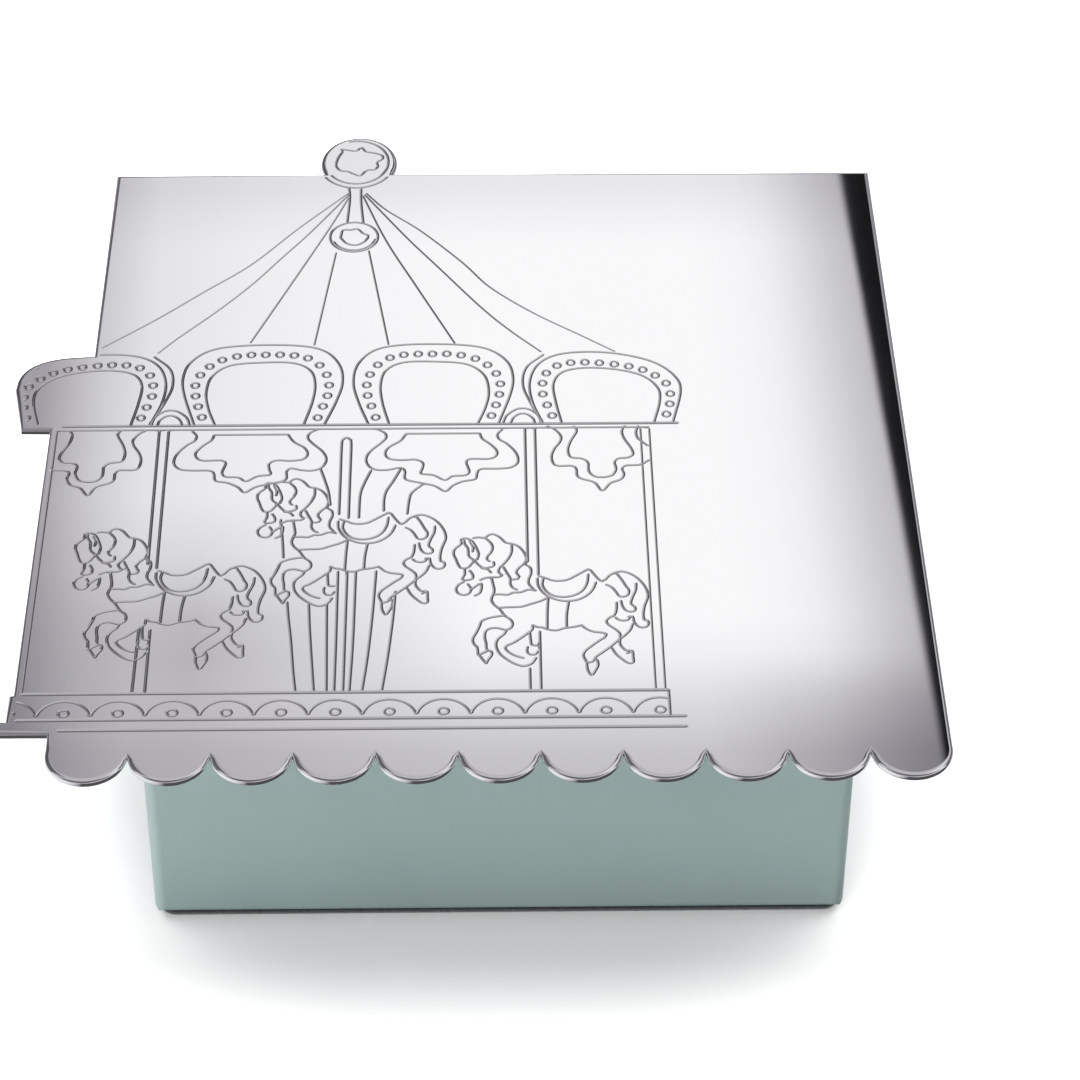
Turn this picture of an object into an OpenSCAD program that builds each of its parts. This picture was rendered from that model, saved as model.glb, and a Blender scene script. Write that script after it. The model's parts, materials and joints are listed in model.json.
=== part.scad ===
// Carousel music box: a lacquered wooden keepsake box with a hinged lid. The lid carries a polished
// silver plate whose outline is a fairground carousel with a scalloped awning along its front edge.
// A key wound 18-note movement stands behind a divider under a clear cover, and a stop rod that the
// lid holds down keeps it silent while the box is shut.
// Millimetres, Z up, origin at the centre of the underside, the scalloped front towards -Y.

/* [Box] */
// Outside width of the box
box_w = 114; // [104:1:130]
// Outside depth of the box
box_d = 128; // [118:1:150]
// Height of the four walls
wall_h = 40; // [40:0.5:60]
// Thickness of the four walls
wall_t = 7; // [6.5:0.5:9]
// Rounding of the outer vertical corners
corner_r = 2; // [0.5:0.25:4]
// Rounding of the lower outer edges
foot_r = 1.5; // [0.5:0.25:3]
// Thickness of the base board, which is the depth of the key well
base_t = 9; // [8.6:0.1:9.4]
// Thickness of the floor panel
floor_t = 3; // [2.5:0.25:3.5]
// Depth of the wall groove that holds the floor panel
groove_d = 3; // [1:0.25:4]
// Thickness of the felt under the base
felt_t = 1; // [0.8:0.1:2]
// Setback of the felt from the outside of the box
felt_inset = 1.5; // [0.5:0.25:4]
// Diameter of the key well
well_dia = 31; // [29:0.5:32]

/* [Inside] */
// Depth of the movement bay, from the divider to the back wall
bay_d = 41; // [39:0.5:46]
// Thickness of the divider board
divider_t = 4; // [3:0.5:6]
// Thickness of the fabric lining of the storage tray
lining_t = 1; // [0.8:0.1:2]
// Thickness of the clear cover plate
cover_t = 2; // [1.5:0.25:2.25]
// Distance from the rim of the walls down to the top of the cover plate
cover_drop = 2.5; // [2.4:0.1:2.6]
// Width of the ledges that carry the cover plate
ledge_w = 5; // [4:0.5:8]
// Height of the ledges
ledge_h = 4; // [3:0.5:8]

/* [Lid] */
// Width of the silver plate
plate_w = 140; // [132:1:160]
// Depth of the silver plate from its back edge to the scallop notches
plate_d = 154; // [146:1:170]
// Thickness of the silver plate
plate_t = 1.4; // [1:0.1:3]
// Number of scallops along the front edge
scallops = 11; // [7:1:15]
// How far a scallop hangs below its notches
scallop_drop = 5.7; // [3:0.1:6]
// Thickness of the lid board under the plate
board_t = 8; // [8:0.5:12]
// Thickness of the lid lining
pad_t = 1; // [0.6:0.1:1.2]
// Gap between the lid lining and the walls
pad_gap = 0.6; // [0.4:0.1:2]

/* [Carousel outline] */
// Distance of the carousel's middle to the left of the plate's middle
car_shift = 25; // [22:0.5:27]
// Distance from the notches up to the carousel's base line
car_base = 5; // [2:0.5:8]
// Width of the carousel's base step
step_w = 108; // [106:1:112]
// Height of the base step
step_h = 1.8; // [1:0.1:3]
// Width of the platform
platform_w = 103.4; // [102:0.2:106]
// Height of the platform
platform_h = 7; // [5:0.5:9]
// Width across the outer columns
columns_w = 102; // [100:0.5:104]
// Height of the columns
columns_h = 65.5; // [60:0.5:70]
// Widest width of one rounding board
crown_board_w = 27; // [24:0.5:29]
// Spacing of the four rounding boards
crown_pitch = 29.6; // [29:0.1:30]
// Height of the outer rounding boards
crown_board_h = 20.4; // [18:0.2:23]
// Narrowing of the foot of an outer rounding board on its outer side
crown_foot = 2; // [0:0.25:4]
// Width of the oval finial
finial_w = 14.2; // [12:0.2:16]
// Height of the oval finial
finial_h = 16.5; // [14:0.5:18]
// Height of the finial's middle above the plate's back edge
finial_rise = 3.8; // [2:0.2:6]

/* [Hinges] */
// Length of one hinge
hinge_l = 22; // [18:1:26]
// Distance of each hinge from the middle of the box
hinge_x = 36; // [32:1:38]
// Thickness of the hinge leaves
leaf_t = 1; // [0.8:0.1:1.2]
// Height of the leaf on the back wall
leaf_h = 11; // [10:0.5:14]
// Height of the leaf on the lid board
lid_leaf_h = 7; // [7:0.1:7.6]
// Radius of the hinge knuckles
knuckle_r = 1.8; // [1.7:0.05:2]
// Radius of the hinge pin
pin_r = 0.8; // [0.7:0.05:1]

/* [Movement] */
// Length of the bedplate
bed_l = 60; // [60:1:64]
// Width of the bedplate
bed_w = 38; // [38:0.5:38.5]
// Thickness of the bedplate
bed_t = 2; // [1.5:0.25:2.5]
// Height of the bedplate's feet
foot_h = 2.5; // [2.5:0.1:2.8]
// Height of the cylinder's axis above the bedplate
cyl_rise = 11.5; // [11.5:0.1:11.7]
// Radius of the pinned cylinder
cyl_r = 5.5; // [5.2:0.05:5.6]
// Number of notes, one comb tooth and one ring of pins each
notes = 18; // [12:1:18]
// Spacing of the notes
note_pitch = 1.08; // [1:0.01:1.1]
// Height of the cylinder's pins
pin_h = 0.5; // [0.3:0.05:0.6]
// Number of pins for each note
pins_per_note = 7; // [3:1:9]
// Radius of the cylinder's arbor
cyl_arbor_r = 1; // [0.8:0.05:1.2]
// Thickness of the comb
comb_t = 0.9; // [0.6:0.1:1.2]
// Gap between the comb's tips and the pins
comb_gap = 0.2; // [0.15:0.05:0.4]
// Length of the longest comb tooth
bass_l = 9.8; // [9:0.2:10]
// Length of the shortest comb tooth
treble_l = 5; // [4:0.2:7]
// Width of the slots between the comb's teeth
comb_slot = 0.3; // [0.2:0.02:0.4]

/* [Winding] */
// Outside radius of the spring case
case_r = 11.5; // [11.3:0.1:11.6]
// Height of the spring case
case_h = 6.7; // [6:0.1:6.8]
// Radius of the winding arbor
arbor_r = 2.5; // [2:0.1:2.6]
// Number of turns of the mainspring
spring_turns = 6; // [4:1:8]
// Thickness of the mainspring's strip
spring_t = 0.35; // [0.2:0.05:0.5]
// Span of the winding key's two wings
key_span = 26; // [22:0.5:27]
// Height of the winding key
key_h = 7.8; // [7:0.1:8]

/* [Gears] */
// Module of the crown wheel and the cylinder pinion
crown_m = 0.5; // [0.5:0.01:0.52]
// Teeth of the crown wheel
crown_teeth = 40; // [38:1:40]
// Teeth of the cylinder pinion
pinion_teeth = 12; // [12:1:12]
// Module of the cylinder wheel and the train pinion
train_m = 0.35; // [0.34:0.01:0.36]
// Teeth of the cylinder wheel
wheel_teeth = 36; // [34:1:36]
// Teeth of the train pinion
train_teeth = 12; // [12:1:12]
// Module of the worm wheel and the worm
worm_m = 0.4; // [0.38:0.01:0.42]
// Teeth of the worm wheel
worm_teeth = 20; // [20:1:22]
// Pitch radius of the worm
worm_r = 1.2; // [1.1:0.05:1.3]

/* [Governor and stop] */
// Radius of the governor's fan
fan_r = 4.4; // [3.6:0.1:4.6]
// Height of the fan's blades
fan_h = 3.2; // [2:0.1:3.4]
// Radius of the stop rod
rod_r = 0.8; // [0.6:0.05:0.9]
// Travel of the stop rod between shut and open
rod_travel = 2.2; // [1.5:0.1:2.3]

/* [Fits] */
// Clearance round a turning shaft
run_fit = 0.05; // [0.04:0.01:0.08]
// Clearance round a screw in its hole
screw_fit = 0.05; // [0.02:0.01:0.1]
// Clearance between boards that are fitted together
board_fit = 0.1; // [0:0.02:0.2]
// Clearance above and below teeth and between moving faces
face_gap = 0.3; // [0.2:0.05:0.35]

/* [Hidden] */
$fn = 48;

// ---- Heights of the box, from the table up ----
base_z = felt_t;
floor_z = base_z + base_t;
inner_z = floor_z + floor_t;
rim_z = base_z + wall_h;
cover_top = rim_z - cover_drop;
cover_z = cover_top - cover_t;
pad_z = rim_z - pad_t;
board_top = rim_z + board_t;

// ---- Plan of the box ----
inner_w = box_w - 2 * wall_t;
inner_d = box_d - 2 * wall_t;
inner_back = inner_d / 2;
bay_y = inner_back - bay_d;
divider_y = bay_y - divider_t;
movement_y = inner_back - bay_d / 2;
groove_h = floor_t + 2 * board_fit;
cover_hole_gap = 0.4;

// ---- Screws ----
wood_screw_r = 0.9;
wood_head_r = 1.6;
base_screw_l = base_t + floor_t - 1;
base_screw_x = inner_w / 2 - 8;
base_screw_y = inner_d / 2 - 8;
leaf_screw_l = 6;
leaf_screw_x = 7;
cover_screw_l = ledge_h + cover_t - 1;
machine_r = 0.8;
machine_head_r = 1.6;
machine_head_h = 1;

// ---- Hinges ----
knuckle_gap = 0.1;
hinge_back = knuckle_r + 0.15;
hinge_y = box_d / 2 + hinge_back;
knuckles = 5;
knuckle_l = hinge_l / knuckles;
leaf_clear = knuckle_r + 0.3;
box_screw_z = rim_z - (leaf_clear + leaf_h) / 2;
lid_screw_z = rim_z + (leaf_clear + lid_leaf_h) / 2;
pin_head_r = 1.3;
pin_head_h = 0.6;

// ---- Movement, measured from the middle of its bay on the floor panel ----
bed_x0 = -28;
bed_top = foot_h + bed_t;
cyl_y = 3;
cyl_z = bed_top + cyl_rise;
cyl_x0 = -1.6;
cyl_margin = 0.28;
cyl_l = notes * note_pitch + 2 * cyl_margin;
cyl_x1 = cyl_x0 + cyl_l;
pin_tip_r = cyl_r + pin_h;
note_pin_r = 0.2;

pinion_r = crown_m * pinion_teeth / 2;
crown_r = crown_m * crown_teeth / 2;
pinion_face = 1.2;
pinion_x = -5;
spring_x = pinion_x - crown_r;
crown_pitch_z = cyl_z - pinion_r;

wheel_r = train_m * wheel_teeth / 2;
train_r = train_m * train_teeth / 2;
train_angle = 50;
train_y = cyl_y + (wheel_r + train_r) * cos(train_angle);
train_z = cyl_z - (wheel_r + train_r) * sin(train_angle);
wheel_face = 1.1;
wheel_x = cyl_x1 + 0.5;
train_arbor_r = 0.6;
bearing_t = 1.2;
bearing_w = 7;
bearing_top = 2.8;
bearing_side = 2.4;
bearing_tie = 0.1;
bearing_foot_l = 6.5;
bearing_screw_in = 4;
bearing_screw_out = 3;
foot_t = 1;
right_bearing_x = wheel_x + wheel_face + 0.5;
left_bearing_x = cyl_x0 - 0.4 - bearing_t;

worm_wheel_r = worm_m * worm_teeth / 2;
worm_face = 0.8;
worm_x = right_bearing_x + bearing_t + 0.7 + worm_face / 2;
worm_y = train_y + worm_wheel_r + worm_r;
worm_arbor_r = 0.6;
worm_pivot_r = 0.5;
worm_turns = 3.5;
worm_thread_off = 0.75 * worm_m;
worm_tooth_root = 0.95 * worm_m;
worm_tooth_tip = 0.25 * worm_m;
worm_tooth_add = 0.6 * worm_m;
worm_lead = PI * worm_m;
worm_l = worm_turns * worm_lead;
cheek_t = 1;
cheek_x = worm_x + worm_r + worm_m + 0.2;
bracket_x0 = worm_x - 2;
bracket_x1 = cheek_x + cheek_t;
bracket_t = 1.2;
bracket_foot_w = 3.2;
bracket_foot_l = 4;
bracket_screw_out = 2.1;
arm_side = 1.8;
cheek_side = 2;
bracket_y = worm_y + worm_r + worm_m + 0.6;
arm_z = train_z + worm_wheel_r + worm_m + face_gap;
fan_z = arm_z + bracket_t + face_gap;
fan_hub_r = 1.2;
fan_hub_h = fan_h + 0.5;
fan_blade_t = 0.3;
fan_top = fan_z + fan_hub_h;

rod_x = worm_x + fan_r + rod_r + 0.4;
rod_y = worm_y;
rod_top = pad_z - inner_z - 0.2;
guide_bore = 1.25;
guide_r = 1.9;
guide_flange_r = 2.15;
guide_h = 9.5;
piston_r = guide_bore - 0.1;
piston_z = bed_top + 4.7;
piston_h = 3.3;
finger_h = 0.8;
finger_z = fan_top + 0.2;
cap_r = 2.1;
cap_z = cover_top - inner_z + face_gap;

comb_tip_y = cyl_y - pin_tip_r - comb_gap;
comb_rim = 0.7;
comb_step = 0.5;
comb_head_r = 1.9;
comb_head_h = 1.1;
comb_root_y = comb_tip_y - bass_l - comb_rim;
comb_body = 5.3;
comb_back_y = comb_root_y - comb_body;
comb_z = cyl_z - comb_t / 2;
comb_margin = 1;
comb_screw_in = 4;
comb_screw_x = [cyl_x0 + comb_screw_in, cyl_x1 - comb_screw_in];
comb_screw_y = (comb_root_y + comb_back_y) / 2;

case_wall = 0.7;
case_top = bed_top + case_h;
ear_t = 0.8;
ear_r = 2.2;
ear_reach = case_r + 1.5;
ear_angles = [110, 250];
crown_disc_t = 0.75;
crown_tooth_add = 0.9 * crown_m;
crown_tooth_root = 1.3 * crown_m;
crown_tooth_w = 1.8 * crown_m;
crown_disc_z = crown_pitch_z - crown_tooth_root - crown_disc_t;
crown_hub_r = 4;
crown_hub_top = crown_pitch_z + 0.6;
collar_z = crown_hub_top + 0.2;
collar_t = 0.6;
collar_r = 3.6;
key_top = -floor_t - 0.4;
key_hub_r = 4;
key_wing_t = 1.6;

foot_xy = [[bed_x0 + 3.5, -bed_w / 2 + 3.5], [bed_x0 + bed_l - 3.5, -bed_w / 2 + 3.5],
           [bed_x0 + 3.5, bed_w / 2 - 3.5]];
foot_boss_r = 3;
movement_screw_r = 1;
movement_head_r = 2;
movement_head_h = 1.2;
nut_reach = 0.5;
case_head_r = 1.3;
bracket_head_r = 1.2;
movement_screw_l = bed_top + floor_t + 4;

// ---- Plate ----
notch_y = -plate_d / 2;
scallop_w = plate_w / scallops;
scallop_r = (scallop_w * scallop_w / 4 + scallop_drop * scallop_drop) / (2 * scallop_drop);
crown_z0 = car_base + step_h + platform_h + columns_h;
crown_wide = 11;

// ---- Helpers ----

// Point at distance r and angle a.
function polar(r, a) = r * [cos(a), sin(a)];

// Points of an arc round c from angle a0 to a1 in n steps.
function arc(c, r, a0, a1, n) = [for (i = [0 : n]) c + polar(r, a0 + (a1 - a0) * i / n)];

// Outline of a rectangle with rounded corners, centred on the origin.
function round_rect(w, d, r) = concat(
  arc([w / 2 - r, d / 2 - r], r, 0, 90, 8), arc([r - w / 2, d / 2 - r], r, 90, 180, 8),
  arc([r - w / 2, r - d / 2], r, 180, 270, 8), arc([w / 2 - r, r - d / 2], r, 270, 360, 8));

// Outline of an ellipse.
function ellipse(w, h, n) = [for (i = [0 : n - 1]) [w / 2 * cos(i * 360 / n), h / 2 * sin(i * 360 / n)]];

// A power that keeps the sign, for the squared shoulders of a rounding board.
function shoulder(s) = sign(s) * pow(abs(s), 0.75);

// Rounding board: straight sides from a foot up to its widest height, then a squared round top.
function crown_board(half, foot_left, foot_right, h) = concat(
  [[foot_right, 0]],
  [for (a = [0 : 10 : 180]) [half * shoulder(cos(a)), crown_wide + (h - crown_wide) * shoulder(sin(a))]],
  [[-foot_left, 0]]);

// Gear outline: n teeth with straight flanks, w_root wide at r_root and w_tip wide at r_tip.
function gear(n, r_root, r_tip, w_root, w_tip, turn = 0) = [
  for (i = [0 : n - 1], k = [[r_root, -w_root], [r_tip, -w_tip], [r_tip, w_tip], [r_root, w_root]])
    polar(k[0], turn + i * 360 / n + k[1] / 2 / k[0] * 180 / PI)];

// Solid along +X from x, whose profile is drawn in Y and Z.
module along_x(x, l) {
  translate([x, 0, 0])
    rotate([90, 0, 90])
      linear_extrude(l)
        children();
}

// Round bar along +X.
module bar_x(x, l, r, y = 0, z = 0) {
  translate([x, y, z])
    rotate([0, 90, 0])
      cylinder(h = l, r = r);
}

// Countersunk wood screw, its head flush at z = 0 and its shank down -Z. fit widens it into a hole.
module wood_screw(l, fit = 0) {
  translate([0, 0, -l])
    cylinder(h = l, r = wood_screw_r + fit);
  translate([0, 0, -(wood_head_r - wood_screw_r)])
    cylinder(h = wood_head_r - wood_screw_r, r1 = wood_screw_r + fit, r2 = wood_head_r + fit);
}

// Pan head machine screw, its head standing on z = 0 and its shank down -Z.
module machine_screw(l, r = machine_r, head_r = machine_head_r, head_h = machine_head_h) {
  difference() {
    union() {
      translate([0, 0, -l])
        cylinder(h = l, r = r);
      cylinder(h = head_h, r = head_r);
    }
    translate([-head_r, -0.2, head_h * 0.6])
      cube([2 * head_r, 0.4, head_h]);
  }
}

// Hole for the shank of a machine screw.
module machine_hole(l, r = machine_r) {
  translate([0, 0, -l])
    cylinder(h = l + 1, r = r + screw_fit);
}

module at_movement() {
  translate([0, movement_y, inner_z])
    children();
}

// ---- Case ----

module well_hole(h) {
  translate([spring_x, movement_y + cyl_y, -1])
    cylinder(h = h + 2, d = well_dia, $fn = 64);
}

module base_screw_places() {
  for (x = [-1, 1], y = [-1, 1])
    translate([x * base_screw_x, y * base_screw_y, base_z])
      rotate([180, 0, 0])
        children();
}

module base_felt() {
  color("#2b2f33")
    difference() {
      linear_extrude(felt_t)
        polygon(round_rect(box_w - 2 * felt_inset, box_d - 2 * felt_inset, corner_r));
      well_hole(felt_t);
    }
}

module base_board() {
  color("#c9a777")
    difference() {
      translate([board_fit - inner_w / 2, board_fit - inner_d / 2, base_z])
        cube([inner_w - 2 * board_fit, inner_d - 2 * board_fit, base_t]);
      well_hole(floor_z);
      base_screw_places()
        wood_screw(base_screw_l, screw_fit);
      at_movement()
        movement_screw_places()
          machine_hole(movement_screw_l, movement_screw_r);
    }
}

module base_screws() {
  color("#b08d45")
    base_screw_places()
      wood_screw(base_screw_l);
}

module floor_panel() {
  color("#d3b385")
    difference() {
      translate([-inner_w / 2 - groove_d + board_fit, -inner_d / 2 - groove_d + board_fit, floor_z])
        cube([inner_w + 2 * groove_d - 2 * board_fit, inner_d + 2 * groove_d - 2 * board_fit, floor_t]);
      translate([spring_x, movement_y + cyl_y, floor_z - 1])
        cylinder(h = floor_t + 2, r = arbor_r + 0.3);
      base_screw_places()
        wood_screw(base_screw_l, screw_fit);
      at_movement()
        movement_screw_places()
          machine_hole(movement_screw_l, movement_screw_r);
    }
}

// One mitred wall along the front, len long, dep the depth of the box in that direction.
module mitred_wall(len, dep) {
  difference() {
    intersection() {
      translate([0, 0, base_z])
        linear_extrude(wall_h)
          intersection() {
            polygon(round_rect(len, dep, corner_r));
            polygon([[-len / 2, -dep / 2], [len / 2, -dep / 2], [len / 2 - wall_t, wall_t - dep / 2],
                     [wall_t - len / 2, wall_t - dep / 2]]);
          }
      translate([-len / 2, -dep / 2, base_z])
        along_x(0, len)
          polygon(concat(arc([foot_r, foot_r], foot_r, 180, 270, 6),
                         [[wall_t + 1, 0], [wall_t + 1, wall_h], [0, wall_h]]));
    }
    translate([-len / 2 + wall_t - groove_d, -dep / 2 + wall_t - groove_d, floor_z - board_fit])
      cube([len - 2 * (wall_t - groove_d), dep - 2 * (wall_t - groove_d), groove_h]);
  }
}

module front_wall() {
  color("#8aa19c")
    mitred_wall(box_w, box_d);
}

module back_wall() {
  color("#8aa19c")
    difference() {
      rotate([0, 0, 180])
        mitred_wall(box_w, box_d);
      hinge_screw_places(box_screw_z)
        wood_screw(leaf_screw_l + leaf_t, screw_fit);
    }
}

module left_wall() {
  color("#8aa19c")
    rotate([0, 0, -90])
      mitred_wall(box_d, box_w);
}

module right_wall() {
  color("#8aa19c")
    rotate([0, 0, 90])
      mitred_wall(box_d, box_w);
}

module divider_board() {
  color("#c9a777")
    translate([board_fit - inner_w / 2, divider_y, inner_z])
      cube([inner_w - 2 * board_fit, divider_t, cover_z - inner_z]);
}

module storage_lining() {
  tray_w = inner_w - 2 * board_fit;
  tray_d = divider_y + inner_back - 2 * board_fit;
  tray_h = cover_z - inner_z;
  color("#cfd6d4")
    translate([-tray_w / 2, board_fit - inner_back, inner_z])
      difference() {
        cube([tray_w, tray_d, tray_h]);
        translate([lining_t, lining_t, lining_t])
          cube([tray_w - 2 * lining_t, tray_d - 2 * lining_t, tray_h]);
      }
}

module cover_screw_places() {
  for (x = [-1, 1], y = [bay_y + 5, inner_back - 5])
    translate([x * (inner_w - ledge_w) / 2, y, cover_top])
      children();
}

module cover_ledges() {
  color("#c9a777")
    difference() {
      for (x = [-1, 1])
        translate([x * (inner_w - ledge_w) / 2 - ledge_w / 2, bay_y, cover_z - ledge_h])
          cube([ledge_w, bay_d, ledge_h]);
      cover_screw_places()
        machine_hole(cover_screw_l);
    }
}

module cover_plate() {
  color("#e6eef0", 0.4)
    difference() {
      translate([board_fit - inner_w / 2, divider_y, cover_z])
        cube([inner_w - 2 * board_fit, divider_t + bay_d - board_fit, cover_t]);
      translate([rod_x, movement_y + rod_y, cover_z - 1])
        cylinder(h = cover_t + 2, r = rod_r + cover_hole_gap);
      cover_screw_places()
        machine_hole(cover_screw_l);
    }
}

module cover_screws() {
  color("#d9c07a")
    cover_screw_places()
      machine_screw(cover_screw_l);
}

// ---- Hinges ----

module hinge_screw_places(z) {
  for (side = [-1, 1], x = [-1, 1])
    translate([side * hinge_x + x * leaf_screw_x, box_d / 2 + leaf_t, z])
      rotate([-90, 0, 0])
        children();
}

// One knuckle of the hinge, k = 0 to knuckles - 1, reaching back to its leaf in direction dir.
module knuckle(k, dir) {
  x = -hinge_l / 2 + k * knuckle_l + (k == 0 ? 0 : knuckle_gap / 2);
  l = knuckle_l - (k == 0 || k == knuckles - 1 ? knuckle_gap / 2 : knuckle_gap);
  difference() {
    union() {
      bar_x(x, l, knuckle_r);
      translate([x, -hinge_back, dir > 0 ? 0 : -leaf_clear - 0.1])
        cube([l, leaf_t, leaf_clear + 0.1]);
    }
    bar_x(x - 1, l + 2, pin_r + run_fit);
  }
}

module box_leaf(side) {
  color("#c8a24c")
    difference() {
      translate([side * hinge_x, hinge_y, rim_z]) {
        for (k = [0 : 2 : knuckles - 1])
          knuckle(k, -1);
        translate([-hinge_l / 2, -hinge_back, -leaf_h])
          cube([hinge_l, leaf_t, leaf_h - leaf_clear]);
      }
      hinge_screw_places(box_screw_z)
        wood_screw(leaf_screw_l + leaf_t, screw_fit);
    }
}

module lid_leaf(side) {
  color("#c8a24c")
    difference() {
      translate([side * hinge_x, hinge_y, rim_z]) {
        for (k = [1 : 2 : knuckles - 2])
          knuckle(k, 1);
        translate([-hinge_l / 2, -hinge_back, leaf_clear])
          cube([hinge_l, leaf_t, lid_leaf_h - leaf_clear]);
      }
      hinge_screw_places(lid_screw_z)
        wood_screw(leaf_screw_l + leaf_t, screw_fit);
    }
}

module hinge_pin(side) {
  color("#b8933f")
    translate([side * hinge_x, hinge_y, rim_z]) {
      bar_x(-hinge_l / 2 - 0.1, hinge_l + 0.2, pin_r);
      bar_x(-hinge_l / 2 - 0.1 - pin_head_h, pin_head_h, pin_head_r);
      bar_x(hinge_l / 2 + 0.1, pin_head_h, pin_head_r);
    }
}

module left_hinge_box_leaf() {
  box_leaf(-1);
}

module right_hinge_box_leaf() {
  box_leaf(1);
}

module left_hinge_lid_leaf() {
  lid_leaf(-1);
}

module right_hinge_lid_leaf() {
  lid_leaf(1);
}

module left_hinge_pin() {
  hinge_pin(-1);
}

module right_hinge_pin() {
  hinge_pin(1);
}

module hinge_box_screws() {
  color("#b8933f")
    hinge_screw_places(box_screw_z)
      wood_screw(leaf_screw_l + leaf_t);
}

module hinge_lid_screws() {
  color("#b8933f")
    hinge_screw_places(lid_screw_z)
      wood_screw(leaf_screw_l + leaf_t);
}

// ---- Lid ----

module lid_board() {
  color("#8aa19c")
    difference() {
      translate([0, 0, rim_z])
        linear_extrude(board_t)
          polygon(round_rect(box_w, box_d, corner_r));
      hinge_screw_places(lid_screw_z)
        wood_screw(leaf_screw_l + leaf_t, screw_fit);
    }
}

module lid_lining() {
  color("#cfd6d4")
    translate([pad_gap - inner_w / 2, pad_gap - inner_d / 2, pad_z])
      cube([inner_w - 2 * pad_gap, inner_d - 2 * pad_gap, pad_t]);
}

// Half of the carousel's outline is mirrored about its middle, so that the base, columns and
// rounding boards reach past the left edge of the plate and lie inside it on the right.
module carousel_outline() {
  translate([-step_w / 2, car_base])
    square([step_w, step_h + 1]);
  translate([-platform_w / 2, car_base + step_h])
    square([platform_w, platform_h]);
  translate([-columns_w / 2, car_base + step_h])
    square([columns_w, crown_z0 - car_base]);
  for (side = [0, 1])
    mirror([side, 0])
      translate([-1.5 * crown_pitch, crown_z0])
        polygon(crown_board(crown_board_w / 2, crown_board_w / 2 - crown_foot,
                            crown_board_w / 2 - crown_foot, crown_board_h));
}

module lid_plate() {
  color("#d4d7da")
    translate([0, 0, board_top])
      linear_extrude(plate_t)
        union() {
          translate([-plate_w / 2, notch_y])
            square([plate_w, plate_d]);
          for (i = [0 : scallops - 1])
            translate([(i + 0.5) * scallop_w - plate_w / 2, notch_y + scallop_r - scallop_drop])
              circle(r = scallop_r);
          translate([-car_shift, plate_d / 2 + finial_rise])
            polygon(ellipse(finial_w, finial_h, 48));
          intersection() {
            translate([-car_shift, notch_y])
              carousel_outline();
            translate([-plate_w, notch_y])
              square([plate_w, plate_d]);
          }
        }
}

// ---- Movement: frame ----

module movement_screw_places() {
  for (p = foot_xy)
    translate([p[0], p[1], bed_top])
      children();
}

module bearing_screw_places() {
  translate([left_bearing_x + bearing_t + bearing_screw_out, cyl_y, bed_top + foot_t])
    children();
  translate([right_bearing_x - bearing_screw_in, cyl_y, bed_top + foot_t])
    children();
}

module bracket_screw_places() {
  for (x = [bracket_x0 - bracket_screw_out, bracket_x1 + bracket_screw_out])
    translate([x, bracket_y + bracket_foot_w / 2, bed_top + foot_t])
      children();
}

module comb_screw_places() {
  for (x = comb_screw_x)
    translate([x, comb_screw_y, comb_z + comb_t])
      children();
}

module guide_axis(z) {
  translate([rod_x, rod_y, z])
    children();
}

module bedplate() {
  color("#b9bcc0")
    at_movement()
      difference() {
        union() {
          translate([bed_x0, -bed_w / 2, foot_h])
            cube([bed_l, bed_w, bed_t]);
          for (p = foot_xy)
            translate([p[0], p[1], 0])
              cylinder(h = foot_h + 0.1, r = foot_boss_r);
        }
        movement_screw_places()
          machine_hole(movement_screw_l, movement_screw_r);
        translate([spring_x, cyl_y, 0])
          cylinder(h = bed_top + 1, r = arbor_r + run_fit);
        translate([worm_x, worm_y, 0])
          cylinder(h = bed_top + 1, r = worm_pivot_r + run_fit);
        bearing_screw_places()
          machine_hole(bed_t + 2);
        bracket_screw_places()
          machine_hole(bed_t + 2);
        comb_screw_places()
          machine_hole(comb_z + comb_t - foot_h + 1);
        ear_places(bed_top + ear_t)
          machine_hole(bed_t + 2);
      }
}

module movement_screws() {
  color("#c9ccd0")
    at_movement()
      movement_screw_places()
        machine_screw(movement_screw_l, movement_screw_r, movement_head_r, movement_head_h);
}

// Upright bearing plate with a foot along the bedplate, drawn as a profile in Y and Z.
module left_bearing() {
  color("#c8a24c")
    at_movement()
      difference() {
        union() {
          along_x(left_bearing_x, bearing_t)
            polygon([[cyl_y - bearing_w / 2, bed_top], [cyl_y + bearing_w / 2, bed_top],
                     [cyl_y + bearing_side, cyl_z + bearing_top * 0.7],
                     [cyl_y + bearing_side / 2, cyl_z + bearing_top],
                     [cyl_y - bearing_side / 2, cyl_z + bearing_top],
                     [cyl_y - bearing_side, cyl_z + bearing_top * 0.7]]);
          translate([left_bearing_x, cyl_y - bearing_w / 2, bed_top])
            cube([bearing_foot_l, bearing_w, foot_t]);
        }
        bar_x(left_bearing_x - 1, bearing_t + 2, cyl_arbor_r + run_fit, cyl_y, cyl_z);
        bearing_screw_places()
          machine_hole(bed_t + 2);
      }
}

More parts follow.
